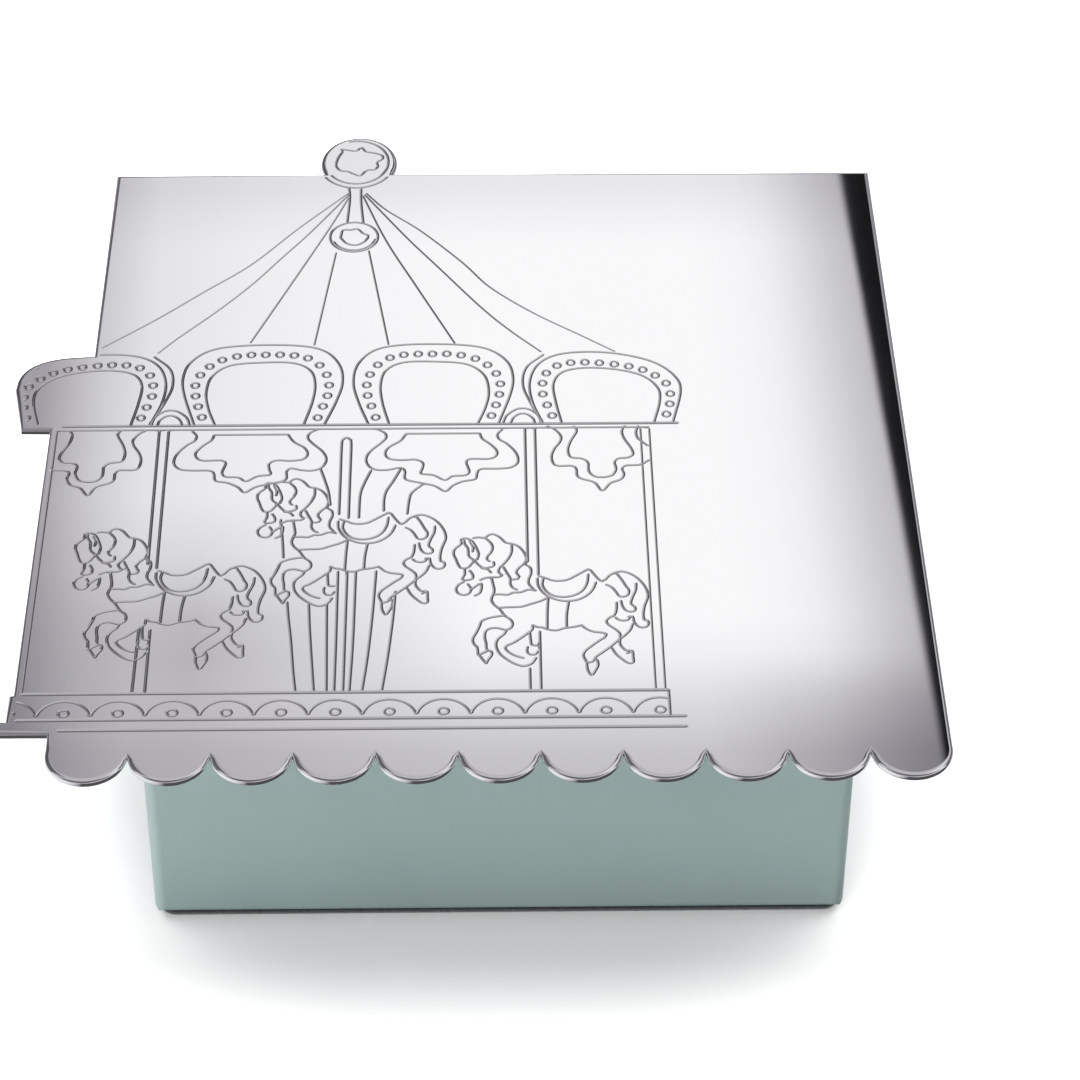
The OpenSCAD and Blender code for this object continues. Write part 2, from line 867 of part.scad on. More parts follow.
module right_bearing() {
  color("#c8a24c")
    at_movement()
      difference() {
        union() {
          along_x(right_bearing_x, bearing_t)
            polygon([[cyl_y - bearing_w / 2, bed_top], [train_y + bearing_side, bed_top],
                     [train_y + bearing_side, train_z + bearing_side * 2 / 3],
                     [train_y + bearing_side * 0.4, train_z + bearing_side * 1.1],
                     [cyl_y + bearing_side, cyl_z + bearing_top * 0.7],
                     [cyl_y + bearing_side / 2, cyl_z + bearing_top],
                     [cyl_y - bearing_side / 2, cyl_z + bearing_top],
                     [cyl_y - bearing_side, cyl_z + bearing_top * 0.7]]);
          translate([right_bearing_x - bearing_foot_l, cyl_y - bearing_w / 2, bed_top])
            cube([bearing_foot_l + bearing_tie, bearing_w, foot_t]);
        }
        bar_x(right_bearing_x - 1, bearing_t + 2, cyl_arbor_r + run_fit, cyl_y, cyl_z);
        bar_x(right_bearing_x - 1, bearing_t + 2, train_arbor_r + run_fit, train_y, train_z);
        bearing_screw_places()
          machine_hole(bed_t + 2);
      }
}

module bearing_screws() {
  color("#c9ccd0")
    at_movement()
      bearing_screw_places()
        machine_screw(bed_t + nut_reach);
}

// ---- Movement: comb ----

function tooth_l(i) = bass_l + (treble_l - bass_l) * i / (notes - 1);

module comb() {
  color("#dfe2e5")
    at_movement() {
      translate([cyl_x0, 0, comb_z])
        difference() {
          linear_extrude(comb_t)
            difference() {
              polygon([[-comb_margin, comb_back_y], [cyl_l + comb_margin, comb_back_y],
                       [cyl_l + comb_margin, comb_root_y + 1], [cyl_l - cyl_margin, comb_root_y + 2.5],
                       [cyl_l - cyl_margin, comb_tip_y], [cyl_margin, comb_tip_y],
                       [cyl_margin, comb_root_y], [-comb_margin, comb_root_y - comb_step]]);
              for (i = [1 : notes - 1])
                translate([cyl_margin + i * note_pitch - comb_slot / 2, comb_tip_y - tooth_l(i)])
                  square([comb_slot, bass_l + 1]);
            }
          for (x = comb_screw_x)
            translate([x - cyl_x0, comb_screw_y, -1])
              cylinder(h = comb_t + 2, r = machine_r + screw_fit);
        }
      for (i = [0 : floor(notes / 2) - 1])
        translate([cyl_x0 + cyl_margin + i * note_pitch + comb_slot / 2, comb_tip_y - 3.4, comb_z - 1.2])
          cube([note_pitch - comb_slot, 2.4 - i * 0.15, 1.2]);
    }
}

module comb_base() {
  color("#b9bcc0")
    at_movement()
      difference() {
        translate([cyl_x0 - comb_margin, comb_back_y, bed_top])
          cube([cyl_l + 2 * comb_margin, comb_root_y - comb_step - comb_back_y, comb_z - bed_top]);
        comb_screw_places()
          machine_hole(comb_z + comb_t - foot_h + 1);
      }
}

module comb_screws() {
  color("#c9ccd0")
    at_movement()
      comb_screw_places()
        machine_screw(comb_z + comb_t - foot_h, machine_r, comb_head_r, comb_head_h);
}

// ---- Movement: spring and winding ----

module ear_places(z) {
  for (a = ear_angles)
    translate([spring_x + ear_reach * cos(a), cyl_y + ear_reach * sin(a), z])
      children();
}

module spring_case() {
  color("#c9ccd0")
    at_movement()
      difference() {
        union() {
          translate([spring_x, cyl_y, bed_top])
            cylinder(h = case_h, r = case_r, $fn = 96);
          ear_places(bed_top)
            cylinder(h = ear_t, r = ear_r);
        }
        translate([spring_x, cyl_y, bed_top - 1])
          cylinder(h = case_h - case_wall + 1, r = case_r - case_wall, $fn = 96);
        translate([spring_x, cyl_y, bed_top])
          cylinder(h = case_h + 1, r = arbor_r + run_fit);
        ear_places(bed_top + ear_t)
          machine_hole(bed_t + 2);
      }
}

module case_screws() {
  color("#c9ccd0")
    at_movement()
      ear_places(bed_top + ear_t)
        machine_screw(bed_t + nut_reach, machine_r, case_head_r);
}

module mainspring() {
  inner = arbor_r + 0.4;
  outer = case_r - case_wall - 0.3 - spring_t;
  steps = 16 * spring_turns;
  spiral = [for (i = [0 : steps]) [inner + (outer - inner) * i / steps, 360 * spring_turns * i / steps]];
  color("#5b6470")
    at_movement()
      translate([spring_x, cyl_y, bed_top + 0.5])
        linear_extrude(case_h - case_wall - 1)
          polygon(concat([for (p = spiral) polar(p[0], p[1])],
                         [for (i = [steps : -1 : 0]) polar(spiral[i][0] + spring_t, spiral[i][1])]));
}

module winding_arbor() {
  arbor_bottom = key_top - key_h + 1.5;
  color("#a9adb2")
    at_movement()
      translate([spring_x, cyl_y, arbor_bottom])
        cylinder(h = collar_z + collar_t + 0.4 - arbor_bottom, r = arbor_r);
}

module arbor_collar() {
  color("#c9ccd0")
    at_movement()
      translate([spring_x, cyl_y, collar_z])
        difference() {
          cylinder(h = collar_t, r = collar_r);
          translate([0, 0, -1])
            cylinder(h = collar_t + 2, r = arbor_r + screw_fit);
        }
}

module winding_key() {
  wing_h = key_h - 1;
  wing_r = wing_h / 2;
  color("#c8a24c")
    at_movement()
      translate([spring_x, cyl_y, key_top - key_h])
        difference() {
          union() {
            cylinder(h = key_h, r = key_hub_r);
            translate([0, key_wing_t / 2, wing_r])
              rotate([90, 0, 0])
                linear_extrude(key_wing_t)
                  difference() {
                    union() {
                      square([key_span - 2 * wing_r, 2 * wing_r], center = true);
                      for (x = [-1, 1])
                        translate([x * (key_span / 2 - wing_r), 0])
                          circle(r = wing_r);
                    }
                    for (x = [-1, 1])
                      translate([x * (key_span / 2 - wing_r - 0.4), 0])
                        circle(r = wing_r * 0.55);
                  }
          }
          translate([0, 0, 1.5])
            cylinder(h = key_h, r = arbor_r + screw_fit);
        }
}

module drive_wheel() {
  color("#c8a24c")
    at_movement()
      translate([spring_x, cyl_y, 0]) {
        difference() {
          union() {
            translate([0, 0, crown_disc_z])
              cylinder(h = crown_disc_t, r = crown_r + pinion_face / 2 + 0.1, $fn = 96);
            translate([0, 0, crown_disc_z])
              cylinder(h = crown_hub_top - crown_disc_z, r = crown_hub_r);
          }
          translate([0, 0, crown_disc_z - 1])
            cylinder(h = crown_hub_top - crown_disc_z + 2, r = arbor_r + run_fit);
        }
        for (i = [0 : crown_teeth - 1])
          rotate([0, 0, (i + 0.5) * 360 / crown_teeth])
            translate([0, 0, crown_pitch_z])
              along_x(crown_r - pinion_face / 2, pinion_face)
                polygon([[-crown_tooth_w / 2, -crown_tooth_root - 0.05],
                         [crown_tooth_w / 2, -crown_tooth_root - 0.05],
                         [crown_tooth_w / 6, crown_tooth_add], [-crown_tooth_w / 6, crown_tooth_add]]);
      }
}

// ---- Movement: cylinder ----

// Angle of pin j of note i, spread round the cylinder by a rule.
function pin_angle(i, j) = (j + 0.15 * sin(97 * i + 61 * j)) * 360 / pins_per_note + 47 * i;

module cylinder_drum() {
  color("#c8a24c")
    at_movement()
      translate([0, cyl_y, cyl_z])
        difference() {
          union() {
            bar_x(cyl_x0, cyl_l, cyl_r);
            for (i = [0 : notes - 1], j = [0 : pins_per_note - 1])
              rotate([pin_angle(i, j), 0, 0])
                translate([cyl_x0 + cyl_margin + (i + 0.5) * note_pitch, 0, cyl_r - 0.3])
                  cylinder(h = pin_h + 0.3, r = note_pin_r, $fn = 16);
          }
          bar_x(cyl_x0 - 1, cyl_l + 2, cyl_arbor_r + screw_fit);
        }
}

module cylinder_arbor() {
  x0 = pinion_x - pinion_face / 2 - 0.4;
  x1 = right_bearing_x + bearing_t + 0.3;
  color("#a9adb2")
    at_movement()
      bar_x(x0, x1 - x0, cyl_arbor_r, cyl_y, cyl_z);
}

module cylinder_pinion() {
  color("#c8a24c")
    at_movement()
      translate([0, cyl_y, cyl_z])
        along_x(pinion_x - pinion_face / 2, pinion_face)
          difference() {
            polygon(gear(pinion_teeth, pinion_r - 1.25 * crown_m, pinion_r + 0.9 * crown_m,
                         1.1 * crown_m, 0.5 * crown_m, -90));
            circle(r = cyl_arbor_r + screw_fit);
          }
}

module cylinder_wheel() {
  color("#c8a24c")
    at_movement()
      translate([0, cyl_y, cyl_z])
        along_x(wheel_x, wheel_face)
          difference() {
            polygon(gear(wheel_teeth, wheel_r - 1.25 * train_m, wheel_r + 0.9 * train_m,
                         1.5 * train_m, 0.6 * train_m, -train_angle));
            circle(r = cyl_arbor_r + screw_fit);
          }
}

// ---- Movement: train and governor ----

module train_arbor() {
  x0 = wheel_x - 0.2;
  x1 = cheek_x + cheek_t - 0.2;
  color("#a9adb2")
    at_movement()
      bar_x(x0, x1 - x0, train_arbor_r, train_y, train_z);
}

module train_pinion() {
  color("#c9ccd0")
    at_movement()
      translate([0, train_y, train_z])
        along_x(wheel_x, wheel_face)
          difference() {
            polygon(gear(train_teeth, train_r - 1.25 * train_m, train_r + 0.9 * train_m,
                         1.1 * train_m, 0.5 * train_m, 180 - train_angle + 180 / train_teeth));
            circle(r = train_arbor_r + screw_fit);
          }
}

module worm_wheel() {
  color("#c8a24c")
    at_movement()
      translate([0, train_y, train_z])
        along_x(worm_x - worm_face / 2, worm_face)
          difference() {
            polygon(gear(worm_teeth, worm_wheel_r - 1.25 * worm_m, worm_wheel_r + worm_tooth_add,
                         worm_tooth_root, worm_tooth_tip, 180 / worm_teeth));
            circle(r = train_arbor_r + screw_fit);
          }
}

// The thread is a twisted round bar set off its axis, which gives a smooth rounded thread.
module worm() {
  color("#a9adb2")
    at_movement()
      translate([worm_x, worm_y, 0]) {
        translate([0, 0, train_z - worm_l / 2])
          linear_extrude(worm_l, twist = -360 * worm_turns, slices = 10 * worm_turns)
            rotate(-90 - 180 * worm_turns)
              translate([worm_thread_off, 0])
                circle(r = worm_r, $fn = 12);
        translate([0, 0, foot_h + 0.5])
          cylinder(h = bed_top - foot_h, r = worm_pivot_r);
        translate([0, 0, bed_top + 0.3])
          cylinder(h = fan_top - bed_top - 0.3, r = worm_arbor_r);
      }
}

module governor_fan() {
  color("#c9ccd0")
    at_movement()
      translate([worm_x, worm_y, fan_z])
        difference() {
          union() {
            cylinder(h = fan_hub_h, r = fan_hub_r);
            translate([-fan_r, -fan_blade_t / 2, 0.2])
              cube([2 * fan_r, fan_blade_t, fan_h]);
          }
          translate([0, 0, -1])
            cylinder(h = fan_hub_h + 2, r = worm_arbor_r + screw_fit);
        }
}

module governor_bracket() {
  color("#c8a24c")
    at_movement()
      difference() {
        union() {
          translate([bracket_x0, bracket_y, bed_top])
            cube([bracket_x1 - bracket_x0, bracket_t, arm_z + bracket_t - bed_top]);
          translate([bracket_x0, worm_y - arm_side, arm_z])
            cube([bracket_x1 - bracket_x0, bracket_y + bracket_t - worm_y + arm_side, bracket_t]);
          translate([cheek_x, train_y - cheek_side, train_z - cheek_side])
            cube([cheek_t, bracket_y + bracket_t / 2 - train_y + cheek_side, 2 * cheek_side]);
          translate([bracket_x0 - bracket_foot_l, bracket_y, bed_top])
            cube([bracket_x1 - bracket_x0 + 2 * bracket_foot_l, bracket_foot_w, foot_t]);
        }
        translate([worm_x, worm_y, arm_z - 1])
          cylinder(h = bracket_t + 2, r = worm_arbor_r + run_fit);
        bar_x(cheek_x - 1, cheek_t + 2, train_arbor_r + run_fit, train_y, train_z);
        bracket_screw_places()
          machine_hole(bed_t + 2);
      }
}

module bracket_screws() {
  color("#c9ccd0")
    at_movement()
      bracket_screw_places()
        machine_screw(bed_t + nut_reach, machine_r, bracket_head_r);
}

// ---- Movement: stop ----

module stop_guide() {
  color("#c8a24c")
    at_movement()
      guide_axis(bed_top)
        rotate_extrude()
          polygon([[guide_bore, 0.3], [guide_bore, guide_h], [guide_r, guide_h], [guide_r, 0.8],
                   [guide_flange_r, 0.8], [guide_flange_r, 0], [0, 0], [0, 0.3]]);
}

module stop_spring() {
  rings = 7;
  wire_r = 0.2;
  rise = (piston_z - bed_top - 0.3 - 2 * wire_r) / (rings - 1);
  color("#8d9299")
    at_movement()
      guide_axis(bed_top + 0.3 + wire_r)
        union() {
          for (i = [0 : rings - 1])
            translate([0, 0, i * rise])
              rotate_extrude()
                translate([guide_bore - 0.15 - wire_r, 0])
                  circle(r = wire_r, $fn = 16);
          for (i = [0 : rings - 2])
            rotate([0, 0, i * 137])
              translate([guide_bore - 0.15 - wire_r, 0, i * rise])
                cylinder(h = rise, r = wire_r * 0.8, $fn = 16);
        }
}

module stop_rod() {
  color("#a9adb2")
    at_movement()
      guide_axis(0)
        union() {
          translate([0, 0, piston_z])
            cylinder(h = piston_h, r = piston_r);
          translate([0, 0, piston_z])
            cylinder(h = rod_top - piston_z, r = rod_r);
          translate([0, 0, cap_z])
            cylinder(h = rod_top - cap_z, r = cap_r);
          translate([worm_x - rod_x - 0.6, -0.5, finger_z])
            cube([rod_x - worm_x + 0.6, 1, finger_h]);
        }
}

base_felt();
base_board();
base_screws();
floor_panel();
front_wall();
back_wall();
left_wall();
right_wall();
divider_board();
storage_lining();
cover_ledges();
cover_plate();
cover_screws();
left_hinge_box_leaf();
right_hinge_box_leaf();
left_hinge_pin();
right_hinge_pin();
hinge_box_screws();
bedplate();
movement_screws();
spring_case();
case_screws();
mainspring();
left_bearing();
right_bearing();
bearing_screws();
comb();
comb_base();
comb_screws();
governor_bracket();
bracket_screws();
stop_guide();
stop_spring();
lid_board();
lid_plate();
lid_lining();
left_hinge_lid_leaf();
right_hinge_lid_leaf();
hinge_lid_screws();
stop_rod();
winding_arbor();
winding_key();
arbor_collar();
drive_wheel();
cylinder_drum();  // cylinder
cylinder_arbor();
cylinder_pinion();
cylinder_wheel();
train_arbor();
train_pinion();
worm_wheel();
worm();
governor_fan();
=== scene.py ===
"""Looks of the carousel music box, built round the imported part."""
import bmesh
import bpy
import json
import math
import random
import numpy as np
from mathutils import Matrix, Vector, geometry, kdtree
from mathutils import noise as mathutils_noise


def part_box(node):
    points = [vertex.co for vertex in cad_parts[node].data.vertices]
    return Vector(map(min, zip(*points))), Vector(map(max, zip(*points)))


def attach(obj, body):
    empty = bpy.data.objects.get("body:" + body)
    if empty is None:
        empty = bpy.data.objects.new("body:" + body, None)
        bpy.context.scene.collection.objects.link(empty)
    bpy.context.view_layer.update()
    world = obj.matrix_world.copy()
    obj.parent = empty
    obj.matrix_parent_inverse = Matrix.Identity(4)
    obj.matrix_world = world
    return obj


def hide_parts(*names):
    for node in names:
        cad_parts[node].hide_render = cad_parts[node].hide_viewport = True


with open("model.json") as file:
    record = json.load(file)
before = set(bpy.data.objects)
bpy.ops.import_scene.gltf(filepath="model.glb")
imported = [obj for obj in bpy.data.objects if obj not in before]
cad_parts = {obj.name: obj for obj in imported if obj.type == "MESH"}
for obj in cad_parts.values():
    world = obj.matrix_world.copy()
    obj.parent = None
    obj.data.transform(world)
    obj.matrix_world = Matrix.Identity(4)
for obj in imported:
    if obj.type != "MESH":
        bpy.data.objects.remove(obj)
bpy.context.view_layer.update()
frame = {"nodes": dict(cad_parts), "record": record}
nodes = frame["nodes"]
MM = 0.001
random.seed(7)


# -------- drawing
# Points are (u, v) in millimetres on the lid plate: u from the carousel's middle, v from the lid's front
# notches.

def ellipse(cu, cv, ru, rv, start=0, end=360, count=24):
    """Points along an ellipse, from one angle to another in degrees."""
    turns = [math.radians(start + (end - start) * i / count) for i in range(count + 1)]
    return [(cu + ru * math.cos(t), cv + rv * math.sin(t)) for t in turns]


def moved(points, du, dv):
    return [(u + du, v + dv) for u, v in points]


def flipped(points):
    return [(-u, v) for u, v in points]


# One galloping horse, drawn where the right one is. Each list is one smooth stroke.
HORSE = [
    # mane, from the forehead back to the withers
    [(21, 50.4), (21.9, 50.6), (22.9, 50.4), (23.4, 51), (24.2, 51.4), (25.1, 50.9), (25.8, 50),
     (26.4, 49.2), (27.5, 48.9), (28.5, 48.2), (29.3, 46.8), (29.7, 45.2), (29.5, 43.9), (30.3, 43),
     (30.4, 41.6), (30, 40.2), (30, 39), (30.6, 38), (31, 37.3)],
    # mane locks
    [(23.1, 50.3), (23.9, 49.2), (24.2, 48), (23.9, 46.8), (23.3, 45.8), (23.3, 45), (23.7, 44.6)],
    [(27.3, 48.8), (27.3, 47), (26.8, 45.4), (26, 44), (25.3, 43), (25.1, 42), (25.7, 41.2)],
    [(25.9, 43.2), (26.5, 41.7), (27, 40.4), (27, 39), (27.4, 38.1), (28.1, 37.6)],
    [(29.2, 43.8), (28.4, 42.9), (28, 41.8), (28.5, 40.8), (28.2, 40.2), (27.3, 40.1)],
    [(24.3, 44.5), (24.4, 43.6), (23.7, 43.1), (22.7, 43), (22, 43.6), (21.2, 44.8)],
    [(22.4, 42.9), (23.4, 42.6), (23.9, 41.8)],
    # ear and forelock
    [(19, 50), (19.5, 50.4), (20.1, 50.3), (20.8, 49.7), (21.3, 48.6), (21.7, 47.4), (21.9, 46.2),
     (21.6, 45)],
    [(19.5, 49.9), (19.6, 49), (20.1, 48), (20.2, 47)],
    [(20.5, 49.6), (21, 48.2), (20.9, 47)],
    [(20.2, 46.9), (20.3, 45.9), (21, 45.1)],
    # face, muzzle and bit
    [(19.1, 49.9), (19, 48.9), (18.4, 48.2), (17.9, 47.5), (17.8, 46.4), (18.2, 45.1), (18.5, 44),
     (19, 43), (20, 43), (20.6, 43.8), (21.2, 44.9)],
    [(19.6, 42.9), (19.6, 41.4), (19.2, 40.3), (20, 40), (20.9, 40.4), (20.9, 41.4), (20.4, 42.4)],
    [(19.5, 39.6), (18.6, 38.9), (18.2, 37.8), (18.6, 36.8), (19.6, 36.4), (20.4, 36.9), (20.6, 38),
     (20.1, 39.1)],
    [(20.8, 37.9), (21.6, 38.7), (22.3, 39.2), (22.3, 37.8), (22, 36.8), (21.2, 36.2)],
    # jaw and neck strap
    [(22.1, 40), (22.9, 40.5), (24, 40.7), (25.1, 40.7), (25.7, 41.1)],
    # throat, chest and the inside of the far foreleg
    [(24, 40.3), (24.2, 39), (24.4, 37.4), (24.1, 36.2), (23.9, 35.2), (24.3, 34.1), (25.2, 33),
     (25.7, 32), (26.2, 31.2), (27, 30.4), (27.3, 29.4), (27, 28.5), (26.2, 28), (25.3, 28.3),
     (24.4, 28.5), (23.4, 28.2), (22.9, 27.5), (22.8, 26.2), (23, 24.8), (23.1, 23.5), (23.8, 23),
     (23.9, 22.1), (23.4, 21.2), (23, 20.2)],
    # outside of the far foreleg and its hoof
    [(26.1, 31.4), (24.8, 31.2), (23.4, 30.8), (22.3, 30.1), (22, 29), (21.5, 27.5), (20.9, 26),
     (21, 24.9), (21.6, 23.9), (21.7, 22.6), (22.1, 21.8), (22.5, 21), (23, 20.2)],
    [(21.8, 22.1), (22.5, 22.6), (23.2, 23.1)],
    # breast straps
    [(24.5, 36.5), (25.6, 36.5), (26.6, 36.4), (27.4, 36.9), (28.7, 37), (29.9, 37.6), (31.1, 37.4)],
    [(25.3, 33.3), (26.8, 33.4), (28.7, 33.5), (30.4, 34.2), (31.8, 34.8), (32.8, 35.5)],
    # near foreleg, folded under
    [(26.3, 28), (25.9, 27), (25, 26), (24.6, 24.9), (24.7, 23.6), (25.2, 22.4), (26.1, 21.3),
     (27.2, 20.3), (28.2, 19.7), (29, 19.5), (30, 19.9), (30.6, 20.7), (30.9, 21.4)],
    [(30.5, 29.1), (30.4, 28), (29.5, 27), (28.4, 25.9), (27.3, 24.9), (26.2, 24.2), (26.1, 23.5),
     (26.9, 22.5), (27.9, 21.8), (28.9, 21.4)],
    [(30, 27.4), (30.1, 25.6), (30.3, 24.4), (31.2, 24.3)],
    [(29.6, 24), (29.5, 22.9), (30, 22.2), (30.8, 22.2), (31.2, 22.9)],
    # belly
    [(30.5, 29.1), (31.3, 28.6), (32.1, 28.5), (33, 28), (34.3, 27.8), (35.5, 28.3), (36.6, 28.5),
     (37.8, 28.8), (38.3, 29)],
    # near hind leg and its hoof
    [(38.3, 29), (39.2, 28), (40.3, 27.4), (41.5, 27.2), (42.2, 26.9), (41.9, 26.1), (40.9, 25.2),
     (39.8, 24.1), (38.8, 23), (38.4, 21.9), (38.7, 20.9), (38.9, 20.2), (39, 18.6), (39.6, 17.3),
     (40.2, 18.3), (40.7, 19.6), (40.6, 20.7), (40.3, 21.4), (41.3, 22.4), (42.7, 23.8), (44.1, 25.4),
     (45.3, 26.7), (46.1, 27.9), (46.5, 29.2)],
    [(38.9, 20.2), (39.8, 20.4), (40.3, 21.3)],
    # far hind leg and its hoof
    [(42.9, 23.8), (43.6, 22.2), (44.7, 20.8), (45.6, 20), (46.3, 20.2), (46.3, 21.4), (46.2, 22.9),
     (45.4, 22.9), (44.8, 23.5), (44.3, 24.6), (44.4, 26.2), (44.3, 27.2), (43.5, 28.2), (42.6, 29.1),
     (42.3, 30), (42.9, 30.8), (43.6, 31.3), (44, 32.6), (44.1, 34.4)],
    [(45.4, 22.3), (46.2, 22.9)],
    # rump and tail
    [(40.3, 41.9), (40.9, 40.8), (41.4, 40), (41.9, 39.5), (42.4, 39.9), (43.2, 41), (44.1, 41.6),
     (45.1, 41.9), (46.1, 41.6), (47.3, 40.7), (48.3, 39.3), (49, 37.6), (49.2, 35.8), (48.6, 33.6),
     (48.3, 31.6), (48.4, 30.2), (49, 29.9), (49, 29), (48.5, 28.4), (47.7, 28.4), (47.1, 29),
     (46.7, 29.9), (46.6, 31), (46, 31)],
    [(42.6, 38.7), (43.4, 38.1), (44.1, 36.9), (44.5, 36), (45.2, 35.7), (46, 36.2), (46.2, 37.3),
     (45.7, 38.4), (45.1, 39.9), (44.4, 41.3)],
    [(47.4, 39), (47.3, 37.4), (46.7, 35.6), (46.4, 34.1), (47, 33.3), (47, 32.4), (46.3, 32.1),
     (45.5, 32.5), (45, 33.5), (44.8, 34.8)],
    [(43.8, 30.8), (44.2, 30.3), (45, 30), (45.8, 30.2), (46.1, 30.9)],
    # saddle and its girth
    [(31.7, 40.9), (32.8, 40.4), (33.9, 39.8), (35.2, 39.7), (36.4, 40), (37.5, 40.8), (38.8, 41.8),
     (39.8, 42.5), (40.3, 41.9)],
    [(31.4, 40.4), (31.5, 38.6), (32.2, 37), (33.2, 35.9), (34.8, 35), (36.5, 34.8), (38.1, 35.2),
     (39.5, 36.3), (40.4, 37.7), (40.9, 39.3)],
    [(32.4, 40.4), (32.2, 38.8), (32.7, 37.4), (33.7, 36.3), (35.1, 35.8), (36.6, 35.9), (38, 36.6),
     (39, 37.9), (39.5, 39.4), (39.7, 41.3)],
    [(33.1, 35.9), (32.9, 32.4), (32.8, 28.4)],
    [(36.4, 34.8), (36, 31.6), (35.9, 28.5)],
]
HORSE_PLACES = [(-61.9, 2), (-32.7, 14.5), (0, 0)]

# Drapes under the boards, as pairs of an outer and an inner stroke
DRAPE_MID_OUTER = [
    (4.7, 78.9), (6, 77.9), (6.3, 76.6), (5.4, 75.1), (3.9, 73.3), (3.1, 71.6), (3.1, 70), (3.9, 68.6),
    (5.2, 68), (7, 68.1), (8.9, 68.6), (9.6, 67.6), (9.7, 65.6), (12.3, 64.6), (14.6, 63.8), (16.4, 62.4),
    (17.6, 63.8), (19.3, 64.9), (21.4, 65.5), (21.7, 67), (22.4, 68.1), (25.5, 68.2), (27.4, 68.5),
    (28.5, 69.6), (28.6, 71.2), (28, 73), (26.7, 74.9), (25.5, 76), (25.2, 77.3), (26, 78.6)]
DRAPE_MID_INNER = [
    (9.7, 77.6), (8.7, 75.7), (6.8, 74), (6.2, 72.3), (6.9, 71), (8.9, 70.6), (11.4, 70.7), (12.6, 69.8),
    (12.5, 68.3), (12.3, 67), (14.4, 66.6), (16.3, 65.3), (17.6, 66.3), (19.7, 66.5), (20.4, 67.4),
    (20.1, 68.9), (19.9, 70), (20.6, 70.8), (23.8, 70.8), (25, 71.7), (25, 73.1), (23.9, 74.8),
    (22.6, 76.2), (22.2, 77.6)]
DRAPE_END_OUTER = [
    (33.8, 79.4), (35.1, 78.4), (36, 76.7), (35.8, 75.2), (34.8, 73.3), (34.3, 71.3), (34.6, 69.4),
    (35.5, 68.8), (37.7, 68.8), (38.4, 68), (38.5, 66.3), (39.3, 65.4), (41.4, 64.4), (42.6, 62.3),
    (44, 64.2), (45.8, 65.2), (46.4, 66.6), (46.1, 68), (46.9, 68.8), (49.2, 69), (50.7, 70.2)]
DRAPE_END_INNER = [
    (38.3, 79.3), (38.7, 78), (37.6, 75.3), (37.1, 72.9), (37.6, 71.1), (39.4, 70.7), (40.4, 69.7),
    (40.5, 67.4), (41.5, 66), (43, 65.8), (44.4, 66.3), (45.1, 67.9), (44.9, 69.8), (45.7, 70.7),
    (47.2, 70.9), (48.1, 71.8), (47.8, 73.5), (46.7, 76.1), (46.4, 78), (46.9, 79.3)]
DRAPES = [DRAPE_MID_OUTER, DRAPE_MID_INNER, [(9.7, 77.6), (22.2, 77.6)],
          moved(flipped(DRAPE_MID_OUTER), -0.7, 0), moved(flipped(DRAPE_MID_INNER), -0.7, 0),
          [(-10.4, 77.6), (-22.9, 77.6)],
          DRAPE_END_OUTER, DRAPE_END_INNER, moved(flipped(DRAPE_END_OUTER), -0.6, -0.4),
          moved(flipped(DRAPE_END_INNER), -0.6, -0.4),
          [(49.2, 79.3), (48.8, 77.8), (49, 76.2), (49.8, 75.1), (50.7, 74)]]

# Rounding boards: outline, panel edge, the far side of the end boards, and the lamps between the first two
BOARD_MID_OUTER = [
    (3.2, 80.2), (1.4, 86.2), (0.4, 91.5), (1, 96.5), (3.8, 100.6), (9, 102.2), (18, 102.2), (23.6, 100.9),
    (26.9, 97.6), (28, 93.4), (27.6, 88.6), (25.4, 80.2)]
BOARD_MID_INNER = [
    (6.7, 80.3), (5.5, 86), (5.1, 91), (6, 95), (9, 97.2), (14.5, 97.4), (20, 96.6), (23, 93.6), (23.8, 89),
    (23.2, 84.6), (21.9, 80.3)]
BOARD_MID_LAMPS = [
    (4.4, 82.1), (3.6, 85.2), (2.9, 88.1), (2.7, 91), (3.2, 93.9), (4.5, 96.6), (6.6, 98.6), (9, 99.4),
    (11.5, 99.6), (14, 99.6), (16.5, 99.6), (19, 99.2), (21.5, 98.2), (23.6, 96.4), (25.1, 94),
    (25.8, 91.1), (25.6, 88.2), (25, 85.3), (24.2, 82.4)]
BOARD_END_OUTER = [
    (33, 80.2), (31.3, 86), (30.9, 91.5), (32.4, 96.4), (36, 99.2), (42, 99.9), (48, 98.9), (53, 96.6),
    (56.2, 92.8), (56.9, 88.6), (55.2, 80.2)]
BOARD_END_INNER = [
    (36.2, 80.3), (35.3, 86), (35, 91), (36.6, 94.2), (40.5, 95.4), (46, 94.9), (50.5, 93.1), (53, 89.8),
    (53.2, 86), (52, 80.3)]
BOARD_END_LAMPS = [
    (34.6, 82.3), (33.8, 85.2), (33.1, 88.2), (33.1, 91.2), (33.8, 94), (35.7, 96.1), (38.1, 96.9),
    (40.6, 97), (43.1, 96.8), (45.7, 96.4), (48.2, 95.8), (50.6, 94.8), (52.7, 93.2), (54.5, 91),
    (55.1, 88.1), (54.9, 85.3), (54.2, 82.5)]
BOARD_END_SIDE = [(33.4, 99.2), (30.4, 95.6), (29.7, 90.9), (30.9, 86), (32.8, 81)]
ROSETTE = [(26.2, 80.4), (26.8, 82.3), (28.3, 83.9), (29.6, 84.3), (30.9, 83.9), (32.2, 82.4),
           (32.7, 80.4)]
ROSETTE_INNER = [(27.5, 80.4), (28, 81.8), (29.1, 82.8), (30.3, 82.7), (31.3, 81.6), (31.6, 80.4)]
BOARD_SHIFT = -1.1
LAMP_RADII = (.65, .75)
SMALL_ROUND = 14
BOARDS = [BOARD_MID_OUTER, BOARD_MID_INNER, BOARD_END_OUTER, BOARD_END_INNER, BOARD_END_SIDE, ROSETTE,
          ROSETTE_INNER]
